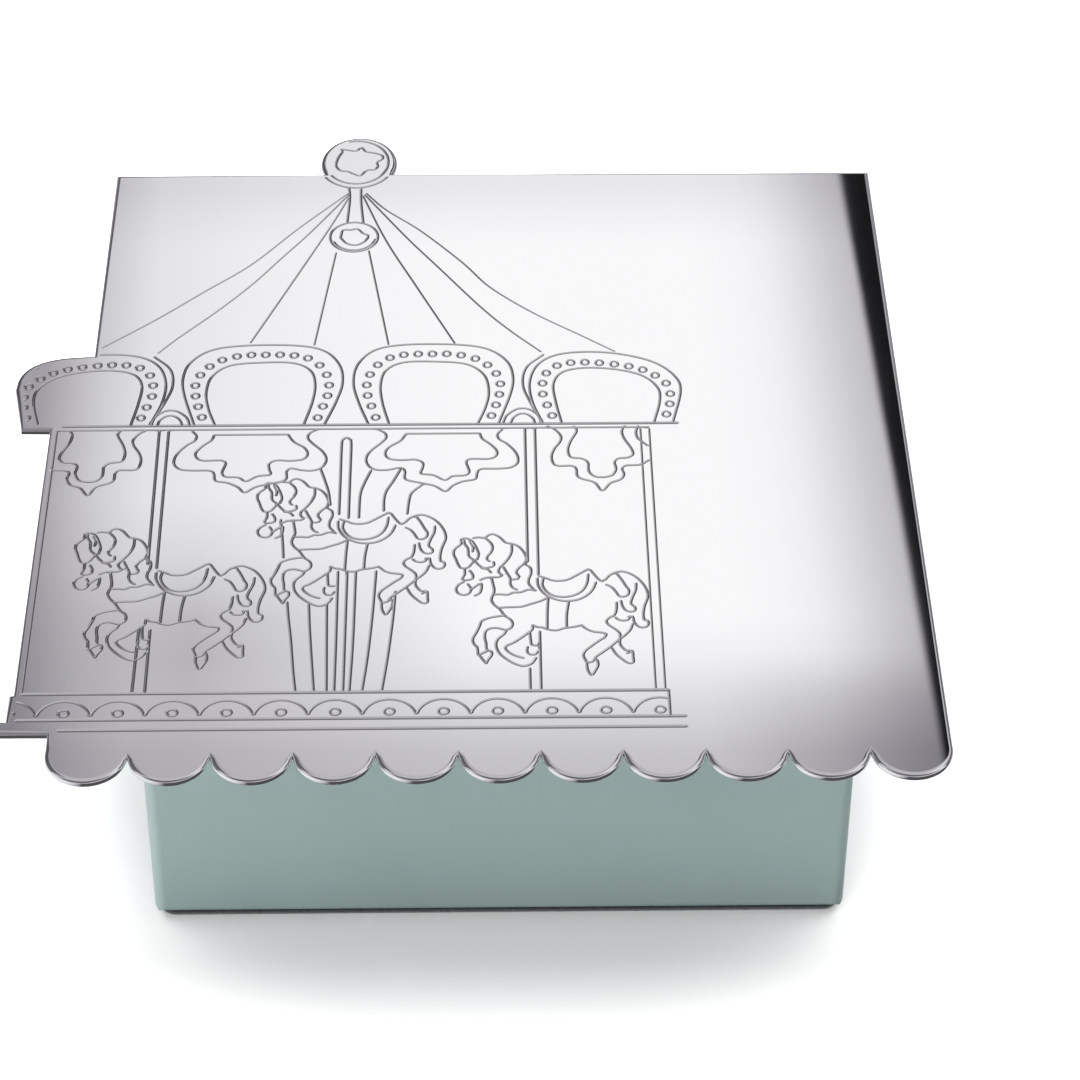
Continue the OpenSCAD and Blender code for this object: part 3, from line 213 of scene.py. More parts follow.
BOARDS += [ellipse(u, v, *LAMP_RADII, count=SMALL_ROUND) for u, v in BOARD_MID_LAMPS + BOARD_END_LAMPS]
BOARDS += [moved(flipped(s), BOARD_SHIFT, 0) for s in BOARDS]

# Canopy ribs, from the finial down to the boards
RIBS = [
    [(-1.7, 148), (-10.8, 136.7), (-18.8, 125.9), (-26.7, 118), (-35, 109.7), (-43.8, 101.8)],
    [(-1.6, 147.6), (-8.3, 135.9), (-13.3, 128), (-18.3, 120.1), (-24.2, 112.2), (-30.8, 104.3),
     (-33.9, 100.2)],
    [(-1.5, 147.2), (-4.6, 138), (-11, 121), (-17.9, 103)],
    [(-3.6, 129.4), (-6.7, 102.3)],
    [(2.3, 130), (6.3, 102.3)],
    [(0.9, 147), (5.4, 133), (10.8, 119.7), (17.9, 102.6)],
    [(1.2, 147.4), (9.2, 133.8), (15, 124.7), (22.5, 113), (27.5, 106.3), (33, 100)],
    [(1.5, 147.8), (5.2, 142.6), (11.7, 135.9), (19.2, 126.3), (24.2, 118.8), (31.7, 111.3),
     (40, 104.7), (45.9, 100)]]

# Finial and medallion, each an oval with a star flower, and the rod between them
FINIAL = [ellipse(-.45, 157.8, 5.9, 6.9), ellipse(-.45, 157.8, 7.1, 8.2, 205, 335),
          [(-3.4, 162.1), (-0.7, 161.5), (0.3, 162.6), (1.1, 161.3), (2.7, 160.8), (4.2, 160),
           (4.3, 158.8), (3.3, 157.8), (3.5, 156.5), (2.9, 155.4), (1.5, 155.2), (0.3, 153.5),
           (-0.9, 154), (-2, 154.8), (-3.5, 155.2), (-4.3, 156.6), (-4.2, 158.2), (-3.8, 159.7),
           (-3.3, 161), (-3.4, 162.1)]]
MEDALLION = [ellipse(-.45, 134.2, 4.35, 4.5), ellipse(-.45, 134.2, 3.9, 4, 200, 350),
             [(-2.9, 134), (-2.5, 136.3), (-1, 136.4), (0.1, 136.7), (1.1, 135.4), (2.1, 134.6),
              (1.8, 133.3), (1, 132.3), (-0.2, 131.7), (-1.8, 132.3), (-2.9, 134)],
             [(-1.7, 149.4), (-1.5, 146), (-1.8, 138.8)],
             [(0.5, 149.2), (0.6, 145), (1.1, 138.8)]]

# Brass poles: the outer two stop at the saddles, the middle one ends in a round top
POLES = [
    [(-32.3, 78.6), (-32, 44.4)], [(-30.7, 78.6), (-30.5, 43.4)],
    [(-32.4, 28.6), (-32.5, 14.2)], [(-30.6, 28.6), (-30.5, 14.2)],
    [(29.9, 78.6), (29.9, 44.4)], [(31.6, 78.6), (31.6, 41.3)],
    [(29.9, 19), (29.9, 14.2)], [(31.6, 27.6), (31.6, 14.2)],
    [(-1.2, 56.6), (-1.2, 65), (-1.2, 75), (-.9, 76.2), (-.4, 76.7), (.1, 76.2), (.4, 75),
     (.4, 65), (.4, 55.6)]]

# Centre column: curves above the middle horse and fluting below it
COLUMN = [
    [(-4.6, 68.4), (-3.9, 65.8), (-3.1, 62.4), (-2.7, 59)],
    [(3.9, 67.9), (2.8, 64.4), (2.2, 61.4), (2.1, 55.7)],
    [(8.9, 68.3), (7.8, 65.4), (6.6, 62.6), (6.2, 60.4), (6.2, 57.4)],
    [(12.6, 64.2), (10.9, 62.2), (10.4, 60.4), (10.1, 56.6)],
    [(-10.8, 55.4), (-10.3, 50), (-10, 45.8)],
    [(-9, 35), (-8.7, 31.5), (-8.1, 26), (-7.5, 19), (-7, 14.2)],
    [(-5.5, 34.4), (-5.2, 29), (-4.7, 22), (-4.1, 14.2)],
    [(-2.6, 34.4), (-2.4, 26), (-2.1, 14.2)],
    [(-1, 42.4), (-0.9, 25), (-0.9, 14.2)],
    [(0.5, 42.4), (0.5, 14.2)],
    [(1.9, 42.4), (1.8, 26), (1.5, 14.2)],
    [(5.2, 42.4), (4.8, 32), (4.2, 22), (3.5, 14.2)],
    [(8.4, 37.4), (8.1, 31), (7.4, 22), (6.6, 14.2)]]
EDGES = [[(-49.7, 78.6), (-49.7, 14.2)], [(49.6, 78.6), (49.6, 14.2)], [(51.1, 78.6), (51.1, 14.2)]]

# Platform, and the broad lines that carry the boards and the horses
BROAD = [[(-56, 80.1), (56, 80.1)], [(-50.8, 13.8), (51.6, 13.8)], [(-51.2, 7.9), (54, 7.9)],
         [(-54, 5.6), (54, 5.6)]]
PLATFORM = [[(-50, 79), (51, 79)], [(51.6, 13.6), (51.6, 8.1)]]
ARCH_FIRST, ARCH_PITCH, ARCHES = -51.3, 8.45, 13
ARCH_RADII, ARCH_LEVEL, ARCH_TURN, LAST_ARCH_TURN = (4.2, 4.1), 8, (12, 168), (72, 168)
DOT_RADII, DOT_LEVEL = (.8, .75), 9.4
for i in range(ARCHES):
    middle = ARCH_FIRST + ARCH_PITCH * i
    turn = LAST_ARCH_TURN if i == ARCHES - 1 else ARCH_TURN
    PLATFORM.append(ellipse(middle, ARCH_LEVEL, *ARCH_RADII, *turn))
    PLATFORM.append(ellipse(middle, DOT_LEVEL, *DOT_RADII, count=SMALL_ROUND))

HORSES = [moved(s, *place) for place in HORSE_PLACES for s in HORSE]
FINE = HORSES + DRAPES + BOARDS + FINIAL + MEDALLION + POLES + COLUMN + PLATFORM


# -------- materials

def link(tree, start, end):
    tree.links.new(start, end)


def node(tree, kind, **values):
    """A shader node with its inputs, by name or place, and its settings."""
    made = tree.nodes.new(kind)
    for name, value in values.items():
        if hasattr(made, name):
            setattr(made, name, value)
        else:
            made.inputs[name.replace("_", " ")].default_value = value
    return made


def noise(tree, scale, detail=3.0, stretch=(1, 1, 1), roughness=0.5):
    """Noise in the piece's own coordinates. scale is in turns per metre."""
    place = node(tree, "ShaderNodeTexCoord")
    shape = node(tree, "ShaderNodeMapping")
    shape.inputs["Scale"].default_value = stretch
    made = node(tree, "ShaderNodeTexNoise", Scale=scale, Detail=detail, Roughness=roughness)
    link(tree, place.outputs["Object"], shape.inputs["Vector"])
    link(tree, shape.outputs["Vector"], made.inputs["Vector"])
    return made.outputs["Fac"]


def ramp(tree, value, stops):
    """A colour ramp over value. stops are (place, colour)."""
    made = node(tree, "ShaderNodeValToRGB")
    points = made.color_ramp.elements
    for place, colour in stops[1:-1]:
        points.new(place).color = (*colour, 1)
    for point, (place, colour) in ((points[0], stops[0]), (points[-1], stops[-1])):
        point.position = place
        point.color = (*colour, 1)
    link(tree, value, made.inputs["Fac"])
    return made.outputs["Color"]


def spread(tree, value, low, high):
    """value, which runs from 0 to 1, spread from low to high."""
    made = node(tree, "ShaderNodeMapRange")
    made.inputs["To Min"].default_value = low
    made.inputs["To Max"].default_value = high
    link(tree, value, made.inputs["Value"])
    return made.outputs["Result"]


def bump(tree, shader, height, strength, distance):
    made = node(tree, "ShaderNodeBump", Strength=strength, Distance=distance)
    link(tree, height, made.inputs["Height"])
    link(tree, made.outputs["Normal"], shader.inputs["Normal"])


def material(name):
    """A new material, its node tree and its shader."""
    made = bpy.data.materials.new(name)
    made.use_nodes = True
    return made, made.node_tree, made.node_tree.nodes["Principled BSDF"]


def metal(name, colour, rough, grain=900, stretch=(1, 1, 1)):
    """A metal with fine tool marks and slightly uneven polish."""
    texture, worn = 0.04, 0.12
    made, tree, shader = material(name)
    shader.inputs["Metallic"].default_value = 1
    dark = tuple(c * (1 - worn) for c in colour)
    link(tree, ramp(tree, noise(tree, 60), [(0.3, dark), (0.7, colour)]), shader.inputs["Base Color"])
    marks = noise(tree, grain, 2, stretch)
    link(tree, spread(tree, marks, rough * 0.75, rough * 1.3), shader.inputs["Roughness"])
    bump(tree, shader, marks, texture, 0.0002)
    return made


def wood(name, light, dark):
    """Plain planed wood with its grain along X."""
    made, tree, shader = material(name)
    stretch = (0.06, 1, 1)
    fibres = noise(tree, 900, 6, stretch, 0.65)
    bands = noise(tree, 90, 2, stretch, 0.4)
    mixed = node(tree, "ShaderNodeMath", operation="ADD")
    link(tree, fibres, mixed.inputs[0])
    link(tree, bands, mixed.inputs[1])
    halved = node(tree, "ShaderNodeMath", operation="MULTIPLY")
    halved.inputs[1].default_value = 0.5
    link(tree, mixed.outputs[0], halved.inputs[0])
    link(tree, ramp(tree, halved.outputs[0], [(0.36, dark), (0.6, light)]), shader.inputs["Base Color"])
    link(tree, spread(tree, fibres, 0.5, 0.7), shader.inputs["Roughness"])
    bump(tree, shader, fibres, 0.25, 0.0002)
    return made


def cloth(name, light, dark, scale, sheen):
    """Short pile or felt: mottled, rough and a little glossy at grazing angles."""
    made, tree, shader = material(name)
    fibres = noise(tree, scale, 5, roughness=0.7)
    link(tree, ramp(tree, fibres, [(0.3, dark), (0.7, light)]), shader.inputs["Base Color"])
    shader.inputs["Roughness"].default_value = 0.95
    shader.inputs["Sheen Weight"].default_value = sheen
    shader.inputs["Sheen Roughness"].default_value = 0.5
    bump(tree, shader, fibres, 0.6, 0.0004)
    return made


def lacquer():
    made, tree, shader = material("celadon_lacquer")
    light, deep = (0.2, 0.266, 0.259), (0.185, 0.248, 0.241)
    cloud = noise(tree, 35, 4)
    link(tree, ramp(tree, cloud, [(0.3, deep), (0.7, light)]), shader.inputs["Base Color"])
    link(tree, spread(tree, noise(tree, 400, 3), 0.3, 0.42), shader.inputs["Roughness"])
    shader.inputs["Coat Weight"].default_value = 0.25
    shader.inputs["Coat Roughness"].default_value = 0.12
    bump(tree, shader, noise(tree, 260, 2, (0.3, 0.3, 1)), 0.05, 0.0002)
    return made


def silver():
    """Polished silver plate. The attribute "cut" is 1 at the bottom of the broadest engraved lines, where the
    silver is rougher and its colour darker; the darker colour is painted shade in the grooves."""
    made, tree, shader = material("silver_plate")
    shader.inputs["Metallic"].default_value = 1
    cut = node(tree, "ShaderNodeAttribute", attribute_name="cut")
    # The base colour darkens towards the groove bottoms: painted shade in the grooves
    groove_shade_tones = [(0, (0.94, 0.94, 0.95)), (1, (0.78, 0.78, 0.8))]
    link(tree, ramp(tree, cut.outputs["Fac"], groove_shade_tones), shader.inputs["Base Color"])
    rough = node(tree, "ShaderNodeMath", operation="MULTIPLY_ADD")
    rough.inputs[1].default_value = 0.3
    link(tree, cut.outputs["Fac"], rough.inputs[0])
    link(tree, spread(tree, noise(tree, 30, 4), 0.01, 0.03), rough.inputs[2])
    link(tree, rough.outputs[0], shader.inputs["Roughness"])
    bump(tree, shader, noise(tree, 40, 2), 0.008, 0.0002)
    return made


def acrylic():
    made, tree, shader = material("clear_acrylic")
    shader.inputs["Base Color"].default_value = (0.97, 0.985, 0.985, 1)
    shader.inputs["Transmission Weight"].default_value = 1
    shader.inputs["IOR"].default_value = 1.49
    shader.inputs["Alpha"].default_value = 0.3
    link(tree, spread(tree, noise(tree, 50, 3), 0.01, 0.04), shader.inputs["Roughness"])
    return made


PALE_WOOD, DARK_WOOD = (0.66, 0.49, 0.31), (0.5, 0.34, 0.19)
looks = {
    "silver_plate": silver(),
    "lacquered_wood": lacquer(),
    "plain_wood": wood("plain_wood", PALE_WOOD, DARK_WOOD),
    "felt": cloth("base_felt", (0.045, 0.05, 0.055), (0.012, 0.014, 0.016), 1500, 0.3),
    "lining": cloth("flock", (0.35, 0.385, 0.38), (0.25, 0.28, 0.275), 2200, 0.2),
    "clear_cover": acrylic(),
    "brass": metal("brass", (0.78, 0.57, 0.24), 0.24),
    "nickel": metal("nickel", (0.68, 0.66, 0.62), 0.16),
    "steel": metal("turned_steel", (0.57, 0.58, 0.6), 0.25),
    "spring_steel": metal("spring_steel", (0.36, 0.39, 0.46), 0.22, 1400, (1, 0.1, 1)),
}
slots = {part["node"]: part["material_slot"] for part in frame["record"]["subparts"]}


def dress(piece, slot_name):
    piece.data.materials.clear()
    piece.data.materials.append(looks[slot_name])


# -------- shapes

# Heights closer than this are one level
SAME_LEVEL = 1e-7


def mesh_of(name, made):
    """The finished bmesh as a mesh."""
    mesh = bpy.data.meshes.new(name)
    made.to_mesh(mesh)
    made.free()
    return mesh


def placed(name, data):
    """A new object in the scene."""
    piece = bpy.data.objects.new(name, data)
    bpy.context.collection.objects.link(piece)
    return piece


def top_loops(name, level):
    """The closed outlines of a CAD node's flat face at that height, the longest first."""
    mesh = nodes[name].data
    key = [(round(v.co.x, 6), round(v.co.y, 6)) for v in mesh.vertices]
    flat = [abs(v.co.z - level) < 1e-6 for v in mesh.vertices]
    count = {}
    for face in mesh.polygons:
        if all(flat[i] for i in face.vertices):
            ring = [key[i] for i in face.vertices]
            for a, b in zip(ring, ring[1:] + ring[:1]):
                count[(a, b)] = count.get((a, b), 0) + 1
    following = {a: b for a, b in count if (b, a) not in count}
    loops = []
    while following:
        start = next(iter(following))
        loop = [start]
        point = following.pop(start)
        while point != start:
            loop.append(point)
            point = following.pop(point)
        loops.append([Vector(p) for p in loop])
    loops.sort(key=lambda loop: -sum((a - b).length for a, b in zip(loop, loop[1:] + loop[:1])))
    return loops


def inset(loop, amount):
    """The loop moved to its left by that amount, which is inward on an outline and outward on a hole."""
    made = []
    for i, point in enumerate(loop):
        before = (point - loop[i - 1]).normalized()
        after = (loop[(i + 1) % len(loop)] - point).normalized()
        left = Vector((-before.y - after.y, before.x + after.x))
        left = left.normalized() if left.length > 1e-9 else Vector((-after.y, after.x))
        lean = 1 if before.cross(after) * amount < 0 else max(0.5, left.dot(Vector((-after.y, after.x))))
        made.append(point + left * (amount / lean))
    return made


def smooth(points, step):
    """Points about one step apart along a smooth curve through the given ones."""
    if len(points) == 2:
        count = math.ceil((points[1] - points[0]).length / STRAIGHT_STEP)
        return [points[0].lerp(points[1], i / count) for i in range(count + 1)]
    ends = [2 * points[0] - points[1]] + points + [2 * points[-1] - points[-2]]
    made = []
    for a, b, c, d in zip(ends, ends[1:], ends[2:], ends[3:]):
        count = max(1, round((c - b).length / step))
        for i in range(count):
            t = i / count
            made.append(0.5 * (2 * b + (c - a) * t + (2 * a - 5 * b + 4 * c - d) * t ** 2
                               + (3 * b - a - 3 * c + d) * t ** 3))
    return made + [points[-1]]


def clear_runs(points, outline, margin):
    """The stretches of a stroke that lie inside the outline and clear of it."""
    places = np.array([tuple(p) for p in points])
    ring = np.array([tuple(p) for p in outline])
    ahead = np.roll(ring, -1, axis=0)
    along = ahead - ring
    apart = places[:, None, :] - ring[None, :, :]
    reach = np.clip((apart * along).sum(2) / (along ** 2).sum(1), 0, 1)
    distance = np.linalg.norm(apart - reach[:, :, None] * along, axis=2).min(1)
    above = ring[:, 1][None, :] > places[:, 1][:, None]
    crossing = above != np.roll(above, -1, axis=1)
    slope = np.where(along[:, 1] == 0, 1, along[:, 1])
    where = ring[:, 0] + (places[:, 1][:, None] - ring[:, 1]) * along[:, 0] / slope
    inside = (crossing & (where > places[:, 0][:, None])).sum(1) % 2 == 1
    runs, run = [], []
    for point, kept in zip(points, inside & (distance > margin)):
        if kept:
            run.append(point)
        elif run:
            runs.append(run)
            run = []
    return [r for r in runs + [run] if len(r) > 1]


def groove(points, half):
    """A stroke's two edges, which meet half a width beyond its ends, and its middle line."""
    first = points[0] + (points[0] - points[1]).normalized() * half
    last = points[-1] + (points[-1] - points[-2]).normalized() * half
    left, right = [first], [first]
    for i, point in enumerate(points):
        along = (points[min(i + 1, len(points) - 1)] - points[max(i - 1, 0)]).normalized()
        side = Vector((-along.y, along.x)) * half
        left.append(point + side)
        right.append(point - side)
    return left + [last], right + [last], points


def fill(loops, lines):
    """Triangles between the loops, with the lines as edges: their points, faces and each loop's places."""
    points, edges, places = [], [], []
    for loop in loops:
        start = len(points)
        points += loop
        places.append(range(start, len(points)))
        edges += [(start + i, start + (i + 1) % len(loop)) for i in range(len(loop))]
    for line in lines:
        start = len(points)
        points += line
        edges += [(start + i, start + i + 1) for i in range(len(line) - 1)]
    outer = [list(places[0])]
    made, _, faces, sources, _, origins = geometry.delaunay_2d_cdt(points, edges, outer, 0, 1e-8, True)
    newer = {old: new for new, olds in enumerate(sources) for old in olds}
    kept = [face for face, origin in zip(faces, origins) if origin]
    if len(loops) > 1:
        holes = [np.array([tuple(p) for p in loop]) for loop in loops[1:]]
        centres = [sum((made[i] for i in face), Vector((0, 0))) / 3 for face in kept]
        kept = [f for f, c in zip(kept, centres) if not any(in_ring(c, hole) for hole in holes)]
    return made, kept, [[newer[i] for i in place] for place in places]


def in_ring(point, ring):
    """Whether the point lies inside the ring, which is an array of its corners."""
    ahead = np.roll(ring, -1, axis=0)
    straddles = (ring[:, 1] > point.y) != (ahead[:, 1] > point.y)
    a, b = ring[straddles], ahead[straddles]
    where = a[:, 0] + (point.y - a[:, 1]) * (b[:, 0] - a[:, 0]) / (b[:, 1] - a[:, 1])
    return (where > point.x).sum() % 2 == 1


def slab(name, loops, low, high, edge, lines=(), height=None, turns=3, foot_edge=0, drop=None):
    """A flat piece with those outlines and rounded edges. height(point) is how far its top is sunk.

    The top's rounded edge is edge wide and drop deep, and as deep as wide without drop."""
    drop = edge if drop is None else drop
    made = bmesh.new()
    tops = [inset(loop, edge) for loop in loops]
    points, faces, places = fill(tops, lines)
    sunk = [height(p) if height else 0 for p in points]
    rim = {i for place in places for i in place}
    top = [made.verts.new((p.x, p.y, high - (0 if i in rim else sunk[i]))) for i, p in enumerate(points)]
    for face in faces:
        made.faces.new([top[i] for i in face])
    feet = []
    for loop, place in zip(loops, places):
        ring = [top[i] for i in place]
        steps = [math.radians(90 * i / turns) for i in range(1, turns + 1)]
        shells = [(inset(loop, edge * (1 - math.sin(t))), high - drop * (1 - math.cos(t))) for t in steps]
        shells += [(inset(loop, foot_edge * (1 - math.cos(t))), low + foot_edge * (1 - math.sin(t)))
                   for t in [0] + (steps if foot_edge else [])]
        for outline, level in shells:
            below = [made.verts.new((p.x, p.y, level)) for p in outline]
            for i in range(len(ring)):
                j = (i + 1) % len(ring)
                made.faces.new((ring[j], ring[i], below[i], below[j]))
            ring = below
        feet.append(ring)
    points, faces, places = fill([inset(loop, foot_edge) for loop in loops], ())
    foot = {}
    for ring, place in zip(feet, places):
        foot.update(zip(place, ring))
    for face in faces:
        made.faces.new([foot[i] for i in reversed(face)])
    return placed(name, mesh_of(name, made))


# -------- lid plate

PLATE_EDGE, PLATE_DROP, PLATE_FOOT = 0.8 * MM, 0.5 * MM, 0.6 * MM
PLATE_TURNS = 6
PLATE_CREASE = math.radians(28)
# Half the width of each kind of engraved line, and the depth of a fine one
FAINT_LINE, FINE_LINE, BROAD_LINE = 0.2 * MM, 0.27 * MM, 0.38 * MM
LINE_DEPTH = 0.08 * MM
# In half widths: how far a line keeps from the plate's edge, and where its wall ends
LINE_MARGIN, LINE_WALL = 1.3, 0.94
# The least share of the depth that is cut
SHALLOWEST = 0.02
CURVE_STEP, STRAIGHT_STEP, DEPTH_STEP = 0.45 * MM, 1.2 * MM, 0.1 * MM
DRAWING_ORIGIN = (-25, -77)


def engraved_plate():
    """The silver plate with its rounded edges and the carousel cut into its top."""
    low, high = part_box("lid_plate")
    loops = top_loops("lid_plate", high.z)
    outline = inset(loops[0], PLATE_EDGE)
    lines, middles = [], []
    for strokes, half in ((EDGES + RIBS, FAINT_LINE), (FINE, FINE_LINE), (BROAD, BROAD_LINE)):
        for stroke in strokes:
            points = [Vector(p) * MM for p in moved(stroke, *DRAWING_ORIGIN)]
            for run in clear_runs(smooth(points, CURVE_STEP), outline, half * LINE_MARGIN):
                lines += groove(run, half)
                middles += [(p, half) for p in dense(run, DEPTH_STEP)]
    finder = kdtree.KDTree(len(middles))
    for i, (point, half) in enumerate(middles):
        finder.insert((point.x, point.y, 0), i)
    finder.balance()

    def sunk(point):
        deepest = 0
        for _, i, distance in finder.find_range((point.x, point.y, 0), BROAD_LINE):
            half = middles[i][1]
            share = 1 - distance / (LINE_WALL * half)
            deepest = max(deepest, share * (half / FINE_LINE) ** 0.5)
        return LINE_DEPTH * deepest if deepest > SHALLOWEST else 0

    plate = slab("engraved_lid_plate", loops, low.z, high.z, PLATE_EDGE, lines, sunk, turns=PLATE_TURNS,
                 foot_edge=PLATE_FOOT, drop=PLATE_DROP)
    cut = plate.data.attributes.new("cut", "FLOAT", "POINT")
    deepest = LINE_DEPTH * (BROAD_LINE / FINE_LINE) ** 0.5
    for v in plate.data.vertices:
        inner = high.z - 1.01 * deepest < v.co.z < high.z - SAME_LEVEL and sunk(v.co.xy) > 0
        cut.data[v.index].value = (high.z - v.co.z) / deepest if inner else 0
    plate.data.set_sharp_from_angle(angle=PLATE_CREASE)
    for face in plate.data.polygons:
        levels = [plate.data.vertices[i].co.z for i in face.vertices]
        flat = min(levels) > high.z - SAME_LEVEL or max(levels) < low.z + SAME_LEVEL
        face.use_smooth = not flat and not any(cut.data[i].value > 0 for i in face.vertices)
    dress(plate, "silver_plate")
    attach(plate, "lid")
    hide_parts("lid_plate")


def dense(points, step):
    """The points with more between them, no two more than one step apart."""
    made = [points[-1]]
    for a, b in zip(points, points[1:]):
        count = max(1, math.ceil((b - a).length / step))
        made += [a.lerp(b, i / count) for i in range(count)]
    return made


engraved_plate()

# -------- felt and flock

PILE = 0.12 * MM
SOFT_EDGE = 0.4 * MM
GRID = 4 * MM
GRID_MARGIN = GRID * 0.3
CLOTH_CREASE = math.radians(50)


def uneven(point):
    """How far pile lies below its highest place there."""
    wave = noise_value(point * 160) + 0.5 * noise_value(point * 420)
    return PILE * (0.5 + 0.33 * wave)


def noise_value(point):
    return mathutils_noise.noise((point.x, point.y, 0.3))


def soft_sheet(name, cad, slot_name, body, reach=0, foot_edge=0):
    """A laid sheet with soft edges in the place of a flat CAD one, cut larger all round by reach."""
    low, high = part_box(cad)
    loops = top_loops(cad, high.z)
    loops = [inset(loops[0], -reach)] + loops[1:]
    lines = []
    for axis in (0, 1):
        for i in range(1, math.floor((high - low)[axis] / GRID)):
            start, end = low.xy, high.xy
            start[axis] = end[axis] = low[axis] + GRID * i
            count = math.ceil((end - start).length / GRID)
            walk = [start.lerp(end, t / count) for t in range(count + 1)]
            lines += clear_runs(walk, inset(loops[0], SOFT_EDGE), GRID_MARGIN)
    for hole in loops[1:]:
        ring = np.array([tuple(p) for p in inset(hole, -GRID_MARGIN)])
        lines = [[p for p in line if not in_ring(p, ring)] for line in lines]
        lines = [line for line in lines if len(line) > 1 and whole(line)]
    piece = slab(name, loops, low.z, high.z, SOFT_EDGE, lines, uneven, foot_edge=foot_edge)
    for face in piece.data.polygons:
        face.use_smooth = any(piece.data.vertices[i].co.z > low.z + SAME_LEVEL for i in face.vertices)
    dress(piece, slot_name)
    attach(piece, body)
    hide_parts(cad)


def whole(line):
    """Whether the line's points are still one step apart, with no gap where a hole was."""
    return all((b - a).length < GRID * 1.5 for a, b in zip(line, line[1:]))


def rounded(low, high, radius, turns=5):
    """A rounded rectangle, counterclockwise, between two corners."""
    made = []
    corners = ((high.x, high.y, 0), (low.x, high.y, 90), (low.x, low.y, 180), (high.x, low.y, 270))
    for x, y, start in corners:
        middle = Vector((x - math.copysign(radius, x - (low.x + high.x) / 2),
                         y - math.copysign(radius, y - (low.y + high.y) / 2)))
        for i in range(turns + 1):
            turn = math.radians(start + 90 * i / turns)
            made.append(middle + radius * Vector((math.cos(turn), math.sin(turn))))
    return made


def flocked_tray():
    """The storage compartment's lining: floor and four sides cut as a cross and folded up."""
    low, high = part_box("storage_lining")
    wall, fold = 0.9 * MM, 1.6 * MM
    inner_low, inner_high = low.xy + Vector((wall, wall)), high.xy - Vector((wall, wall))
    rings = [(rounded(low.xy, high.xy, fold), low.z), (rounded(low.xy, high.xy, fold), high.z - wall / 2)]
    for i in range(1, 6):
        turn = math.radians(30 * i)
        shift = Vector((1, 1)) * (wall / 2 * (1 - math.cos(turn)))
        level = high.z - wall / 2 * (1 - math.sin(turn))
        rings.append((rounded(low.xy + shift, high.xy - shift, fold), level))
    side = rounded(inner_low, inner_high, fold)
    steps = 6
    rings += [(side, high.z - wall / 2 - (high.z - low.z - wall - fold) * i / steps) for i in range(steps)]
    for i in range(6):
        turn = math.radians(18 * i)
        shift = Vector((1, 1)) * (fold * (1 - math.cos(turn)))
        level = low.z + wall + fold * (1 - math.sin(turn))
        rings.append((rounded(inner_low + shift, inner_high - shift, fold), level))
    piece = lofted("flocked_tray", rings)
    dress(piece, "lining")
    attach(piece, "case")
    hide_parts("storage_lining")


def lofted(name, rings):
    """Rings of equal length joined in order, the first and last one closed."""
    made = bmesh.new()
    shells = [[made.verts.new((p.x, p.y, level)) for p in loop] for loop, level in rings]
    for a, b in zip(shells, shells[1:]):
        for i in range(len(a)):
            j = (i + 1) % len(a)
            made.faces.new((a[i], a[j], b[j], b[i]))
    made.faces.new(list(reversed(shells[0])))
    made.faces.new(shells[-1])
    bmesh.ops.recalc_face_normals(made, faces=made.faces)
    mesh = mesh_of(name, made)
    mesh.shade_smooth()
    mesh.set_sharp_from_angle(angle=CLOTH_CREASE)
    return placed(name, mesh)


# The dark felt reaches out past the walls, so its edge shows as a thin dark line along the box's foot. The
# felt is real, and the line partly stands in for the contact shadow there: painted shade.
FELT_REACH = 0.8 * MM
soft_sheet("felt_pad", "base_felt", "felt", "case", FELT_REACH)
soft_sheet("lid_flock", "lid_lining", "lining", "lid", foot_edge=SOFT_EDGE)
flocked_tray()

# -------- small metal parts

SPRING_TURNS, STEPS_PER_TURN = 7, 24
SPRING_WIRE = 0.16 * MM
END_TURN_RISE = 0.08
SLOT_WIDTH, SLOT_DEPTH = 0.4 * MM, 0.45 * MM
# In radii of the head
SLOT_LENGTH = 1.6
METAL_CREASE = math.radians(32)


def wound_spring():
    """The coil under the stop rod's collar, with closed end turns."""
    low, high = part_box("stop_spring")
    middle = (low + high) / 2
    radius = (high.x - low.x) / 2 - SPRING_WIRE
    line = bpy.data.curves.new("stop_coil", "CURVE")
    line.dimensions = "3D"
    line.bevel_depth = SPRING_WIRE
    line.bevel_resolution = 3
    path = line.splines.new("POLY")
    steps = STEPS_PER_TURN * SPRING_TURNS
    rise = high.z - low.z - 2 * SPRING_WIRE
    path.points.add(steps)
    for i in range(steps + 1):
        share = i / steps
        turn = 2 * math.pi * SPRING_TURNS * share
        eased = min(1, max(0, (share * SPRING_TURNS - 1) / (SPRING_TURNS - 2)))
        climbed = END_TURN_RISE * share + (1 - END_TURN_RISE) * eased
        place = (middle.x + radius * math.cos(turn), middle.y + radius * math.sin(turn))
        path.points[i].co = (*place, low.z + SPRING_WIRE + rise * climbed, 1)
    coil = placed("stop_coil", line)
    dress(coil, "spring_steel")
    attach(coil, "case")
    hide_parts("stop_spring")


def islands(mesh):
    """The vertices of each separate piece of a mesh, with vertices in one place taken as one."""
    owner = {}

    def root(key):
        while owner[key] != key:
            key = owner[key]
        return key

    key = [tuple(round(c, 6) for c in v.co) for v in mesh.vertices]
    for k in key:
        owner.setdefault(k, k)
    for edge in mesh.edges:
        a, b = (root(key[i]) for i in edge.vertices)
        owner[a] = b
    groups = {}
    for k in owner:
        groups.setdefault(root(k), []).append(Vector(k))
    return list(groups.values())


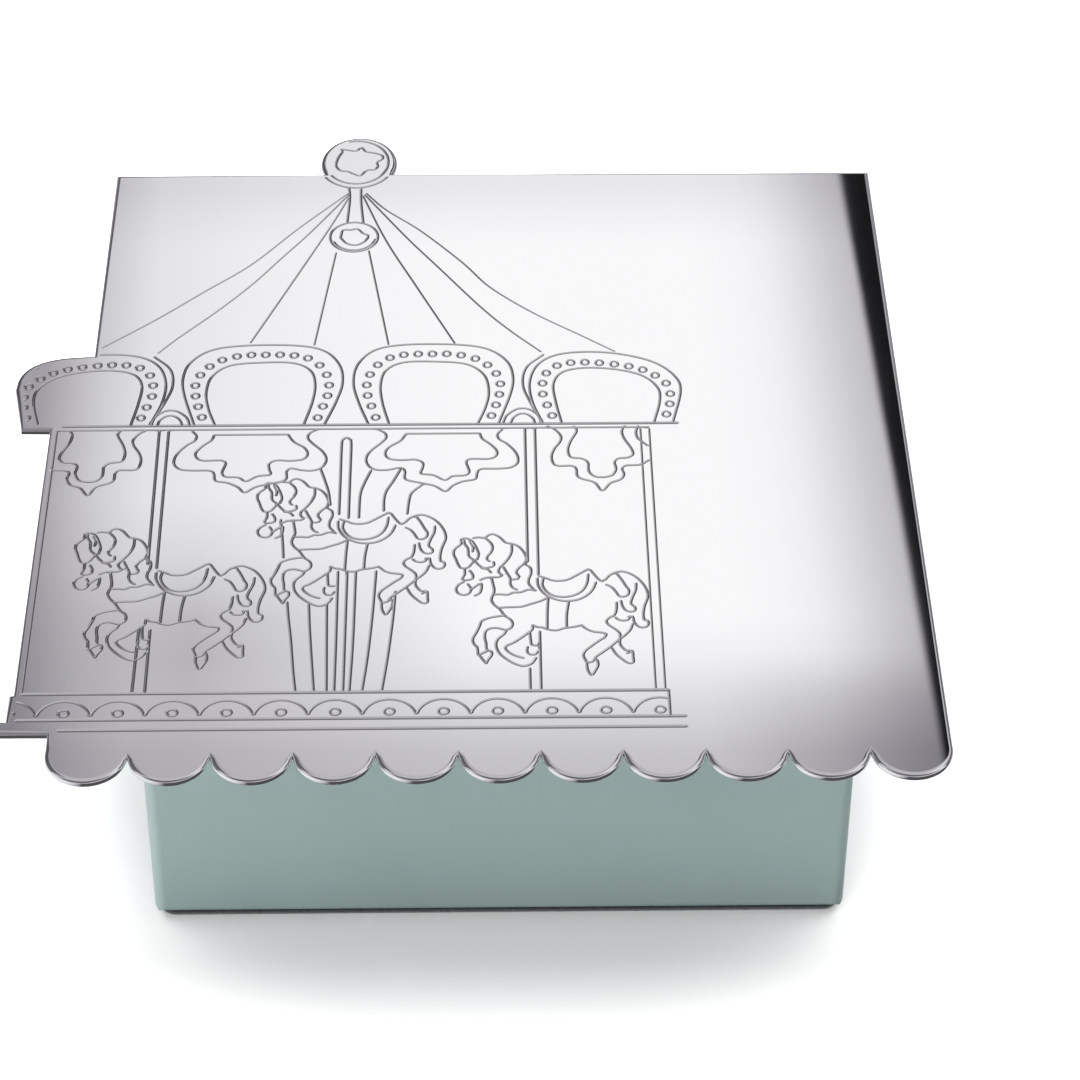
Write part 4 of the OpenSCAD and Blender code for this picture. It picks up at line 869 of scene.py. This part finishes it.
def slotted(cad, up):
    """Wood screws with a slot cut in each head. up is 1 where the heads point up, and -1 where down."""
    cutter = bmesh.new()
    for screw in islands(nodes[cad].data):
        level = max(up * p.z for p in screw)
        head = [p for p in screw if up * p.z > level - 1e-6]
        middle = sum(head, Vector()) / len(head)
        reach = max((p - middle).length for p in head)
        turn = Matrix.Rotation(random.uniform(0, math.pi), 4, "Z")
        size = Matrix.Diagonal((SLOT_LENGTH * reach, SLOT_WIDTH, 2 * SLOT_DEPTH, 1))
        place = Matrix.Translation(middle) @ turn @ size
        bmesh.ops.create_cube(cutter, size=1, matrix=place)
    tool = placed("slots", mesh_of("slots", cutter))
    whole_mesh = nodes[cad].data.copy()
    weld = bmesh.new()
    weld.from_mesh(whole_mesh)
    bmesh.ops.remove_doubles(weld, verts=weld.verts, dist=1e-6)
    weld.to_mesh(whole_mesh)
    weld.free()
    piece = placed("slotted_" + cad, whole_mesh)
    cut = piece.modifiers.new("slots", "BOOLEAN")
    cut.operation = "DIFFERENCE"
    cut.object = tool
    cut.solver = "EXACT"
    depsgraph = bpy.context.evaluated_depsgraph_get()
    finished = bpy.data.meshes.new_from_object(piece.evaluated_get(depsgraph))
    piece.modifiers.clear()
    piece.data = finished
    finished.shade_smooth()
    finished.set_sharp_from_angle(angle=METAL_CREASE)
    bpy.data.objects.remove(tool)
    dress(piece, slots[cad])
    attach(piece, "case")
    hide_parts(cad)


wound_spring()
slotted("base_screws", -1)
slotted("cover_screws", 1)

# -------- CAD nodes

for name, piece in nodes.items():
    if piece.hide_render:
        continue
    dress(piece, slots[name])
    piece.data.shade_smooth()
    piece.data.set_sharp_from_angle(angle=METAL_CREASE)

# -------- room, light and camera

FLOOR_SIZE, FLOOR_DEPTH, FLOOR_EDGE = 1.6, 0.02, 0.005
corners = [Vector(p) * FLOOR_SIZE for p in ((-1, -1), (1, -1), (1, 1), (-1, 1))]
floor = slab("floor", [corners], -FLOOR_DEPTH, 0, FLOOR_EDGE)
floor.visible_glossy = False
made, tree, shader = material("white_floor")
shader.inputs["Base Color"].default_value = (0.8, 0.8, 0.8, 1)
shader.inputs["Roughness"].default_value = 1
shader.inputs["Specular IOR Level"].default_value = 0
floor.data.materials.append(made)

# What polished metal mirrors, by direction. X is dx/dz and Y is dy/dz. A profile is a list of (X or Y,
# brightness), and a span is where a part fades in or out.
# The near part is what the flat plate mirrors from the camera. It is bright in the middle, leans by BAND_LEAN
# round BAND_MIDDLE, ends in the dark strip at BAND, and has a duller patch at each front corner.
ACROSS = [(-.25, .36), (-.191, .376), (-.165, .65), (-.144, .82), (-.1235, .86), (-.103, .9), (-.061, .955),
          (0, 1), (.107, 1), (.129, .965), (.142, .91), (.155, .79), (.171, .63), (.19, .5)]
ALONG = [(.9, .5), (1.0, .55), (1.021, .6), (1.047, .75), (1.073, .92), (1.1, 1), (1.36, 1), (1.384, .94),
         (1.41, .86), (1.6, .8)]
BAND, BAND_DARK = (.1808, .1838), .02
BAND_LEAN, BAND_MIDDLE = .024, 1.05
LEFT_PATCH = [(-.25, .3), (-.17, .6), (-.12, 1), (-.06, .5), (0, 0), (.1, 0)]
LEFT_PATCH_ALONG = [(1, .05), (1.04, .15), (1.075, .4), (1.1, .4), (1.14, .15), (1.18, 0), (1.3, 0)]
RIGHT_PATCH = [(0, 0), (.09, 0), (.125, .7), (.15, 1), (.2, 1)]
RIGHT_PATCH_ALONG = [(.9, .3), (1.02, .3), (1.05, .2), (1.08, 0), (1.2, 0)]
# Where the near part fades in and out, across and along
NEAR_ACROSS = ((-.33, -.27), (.45, .55))
NEAR_ALONG = ((.75, .9), (1.49, 1.55))
# The far part is the rest above the horizon. Seen by the camera, its dark zones show on rounded edges only.
FAR_ACROSS = [(-3, .9), (-1.2, .75), (-.7, .6), (-.2, .7), (.3, .7), (.5, 1), (3, .95)]
FAR_ALONG = [(-3, .65), (-1.5, .4), (-.8, .8), (.5, .7), (1.9, .4), (3, .25)]
DARK_LEFT, DARK_RIGHT = (-.35, -.55), (.95, 1.1)
DARK_SIDES_ALONG = ((0, .3), (2.5, 4))
DARK_FRONT, DARK_FRONT_END, DARK_FRONT_ACROSS = (-.1, -.35), (-1.8, -1.3), ((-1.6, -1.2), (1.2, 1.6))
DARK_BACK_ALONG, DARK_BACK_ACROSS = ((1.49, 1.55), (1.9, 2.2)), ((-.4, -.3), (.3, .4))
DARKENED = .75
# Below the horizon: brightness over the direction's x, and at least BELOW_BEHIND behind the part
BELOW = [(-1, .9), (-.6, .8), (-.35, .5), (-.15, .08), (1, .07)]
BELOW_BEHIND, BEHIND = .6, (.1, .5)
# The least dz that X and Y are divided by
LOWEST = .02
TINT = [(0, (0, 0, 0)), (.3, (.303, .294, .318)), (.6, (.602, .592, .618)), (.9, (.898, .898, .905)),
        (1, (1, 1, 1))]
# What matt surfaces get from the room, and what the camera sees behind the part
SOFT_ROOM, BACKDROP = (0.355, 0.355, 0.355, 1), (1, 1, 1, 1)
world = bpy.data.worlds.new("room")
bpy.context.scene.world = world
world.use_nodes = True
tree = world.node_tree
background = tree.nodes["Background"]
direction = node(tree, "ShaderNodeTexCoord")
parts = node(tree, "ShaderNodeSeparateXYZ")
link(tree, direction.outputs["Generated"], parts.inputs[0])
height = node(tree, "ShaderNodeMath", operation="MAXIMUM")
height.inputs[1].default_value = LOWEST
link(tree, parts.outputs["Z"], height.inputs[0])


def math_node(operation, *values):
    """The result of a math node over sockets and numbers."""
    made = node(tree, "ShaderNodeMath", operation=operation)
    for socket, value in zip(made.inputs, values):
        if isinstance(value, bpy.types.NodeSocket):
            link(tree, value, socket)
        else:
            socket.default_value = value
    return made.outputs[0]


def over(value, span, results=(0, 1)):
    """value carried from a span to results, and held at its ends."""
    made = node(tree, "ShaderNodeMapRange")
    made.inputs["From Min"].default_value, made.inputs["From Max"].default_value = span
    made.inputs["To Min"].default_value, made.inputs["To Max"].default_value = results
    link(tree, value, made.inputs["Value"])
    return made.outputs["Result"]


def profile(value, stops):
    """Brightness over a value, as stops of (value, brightness)."""
    start, end = stops[0][0], stops[-1][0]
    places = [((x - start) / (end - start), (b,) * 3) for x, b in stops]
    return ramp(tree, over(value, (start, end)), places)


def within(value, fade_in, fade_out):
    """1 between the two spans, and 0 outside them."""
    return product([over(value, fade_in), over(value, fade_out, (1, 0))])


def rest(share):
    return math_node("SUBTRACT", 1.0, share)


def mix(first, second, share):
    """first where share is 0 and second where it is 1."""
    step = math_node("SUBTRACT", second, first)
    return math_node("MULTIPLY_ADD", step, share, first)


def product(values):
    result = values[0]
    for value in values[1:]:
        result = math_node("MULTIPLY", result, value)
    return result


across = math_node("DIVIDE", parts.outputs["X"], height.outputs[0])
along = math_node("DIVIDE", parts.outputs["Y"], height.outputs[0])
lean = math_node("MULTIPLY", math_node("SUBTRACT", along, BAND_MIDDLE), BAND_LEAN)
leaning = math_node("ADD", across, lean)
dark_band = over(leaning, BAND, (1, BAND_DARK))
left_patch = product([profile(across, LEFT_PATCH), profile(along, LEFT_PATCH_ALONG)])
right_patch = product([profile(across, RIGHT_PATCH), profile(along, RIGHT_PATCH_ALONG)])
near = product([profile(leaning, ACROSS), profile(along, ALONG), dark_band, rest(left_patch),
                rest(right_patch)])
is_near = product([within(across, *NEAR_ACROSS), within(along, *NEAR_ALONG)])
sides = math_node("ADD", over(across, DARK_LEFT), over(across, DARK_RIGHT))
dark_sides = product([sides, within(along, *DARK_SIDES_ALONG)])
dark_front = product([over(along, DARK_FRONT), over(along, DARK_FRONT_END),
                      within(across, *DARK_FRONT_ACROSS)])
dark_back = product([within(along, *DARK_BACK_ALONG), within(across, *DARK_BACK_ACROSS)])
darkest = math_node("MAXIMUM", math_node("MAXIMUM", dark_sides, dark_front), dark_back)
darkened = math_node("MULTIPLY", darkest, DARKENED)
far = product([profile(across, FAR_ACROSS), profile(along, FAR_ALONG), rest(darkened)])
above = mix(far, near, is_near)
under = math_node("MAXIMUM", profile(parts.outputs["X"], BELOW),
                  over(parts.outputs["Y"], BEHIND, (0, BELOW_BEHIND)))
is_under = math_node("LESS_THAN", parts.outputs["Z"], 0.0)
brightness = mix(above, under, is_under)
mirrored = ramp(tree, brightness, TINT)
rays = node(tree, "ShaderNodeLightPath")
for_gloss = node(tree, "ShaderNodeMix", data_type="RGBA")
for_gloss.inputs["A"].default_value = SOFT_ROOM
link(tree, rays.outputs["Is Glossy Ray"], for_gloss.inputs["Factor"])
link(tree, mirrored, for_gloss.inputs["B"])
for_camera = node(tree, "ShaderNodeMix", data_type="RGBA")
for_camera.inputs["B"].default_value = BACKDROP
link(tree, rays.outputs["Is Camera Ray"], for_camera.inputs["Factor"])
link(tree, for_gloss.outputs["Result"], for_camera.inputs["A"])
link(tree, for_camera.outputs["Result"], background.inputs["Color"])


def aimed(name, lamp, toward):
    """A lamp that shines on the part from that direction, and that metal doesn't mirror."""
    made = placed(name, lamp)
    made.rotation_mode = "QUATERNION"
    made.rotation_quaternion = (-Vector(toward)).to_track_quat("-Z", "Y")
    made.visible_glossy = False
    return made


def soft_light(name, place, size, power):
    """A square lamp at that place, of that size in metres and power in watts."""
    lamp = bpy.data.lights.new(name, "AREA")
    lamp.size = size
    lamp.energy = power
    aimed(name, lamp, place).location = place


def wide_sun(name, toward, strength, width):
    """An even soft light from that direction, width degrees wide."""
    lamp = bpy.data.lights.new(name, "SUN")
    lamp.energy = strength
    lamp.angle = math.radians(width)
    aimed(name, lamp, toward)


SUN_STRENGTH, SUN_WIDTH = 4.2, 65
wide_sun("back_left", (-0.24, 0.36, 0.85), SUN_STRENGTH, SUN_WIDTH)
wide_sun("back_right", (0.24, 0.36, 0.85), SUN_STRENGTH, SUN_WIDTH)
soft_light("front_top", place=(-0.1, -0.65, 1.1), size=0.5, power=5.8)
soft_light("front_low", place=(-0.6, -0.5, 0.03), size=0.3, power=6.5)

CAMERA_PLACE = Vector((-2.37, -470.55, 436.13)) * MM
PITCH, YAW, ROLL = (math.radians(a) for a in (41.018, 1.213, 0.407))
LENS = 119.163
CLIP_START, CLIP_END = 0.01, 20


def camera():
    """The photograph's camera, from its place and angles."""
    lens = bpy.data.cameras.new("camera")
    lens.lens = LENS
    lens.clip_start = CLIP_START
    lens.clip_end = CLIP_END
    right = Vector((math.cos(YAW), -math.sin(YAW), 0))
    up = Vector((math.sin(YAW) * math.sin(PITCH), math.cos(YAW) * math.sin(PITCH), math.cos(PITCH)))
    forward = up.cross(right)
    turned_right = math.cos(ROLL) * right + math.sin(ROLL) * up
    turned_up = math.cos(ROLL) * up - math.sin(ROLL) * right
    turned = Matrix((turned_right, turned_up, -forward)).transposed().to_4x4()
    made = placed("camera", lens)
    made.matrix_world = Matrix.Translation(CAMERA_PLACE) @ turned
    bpy.context.scene.camera = made


camera()
bpy.context.scene.view_settings.view_transform = "Standard"
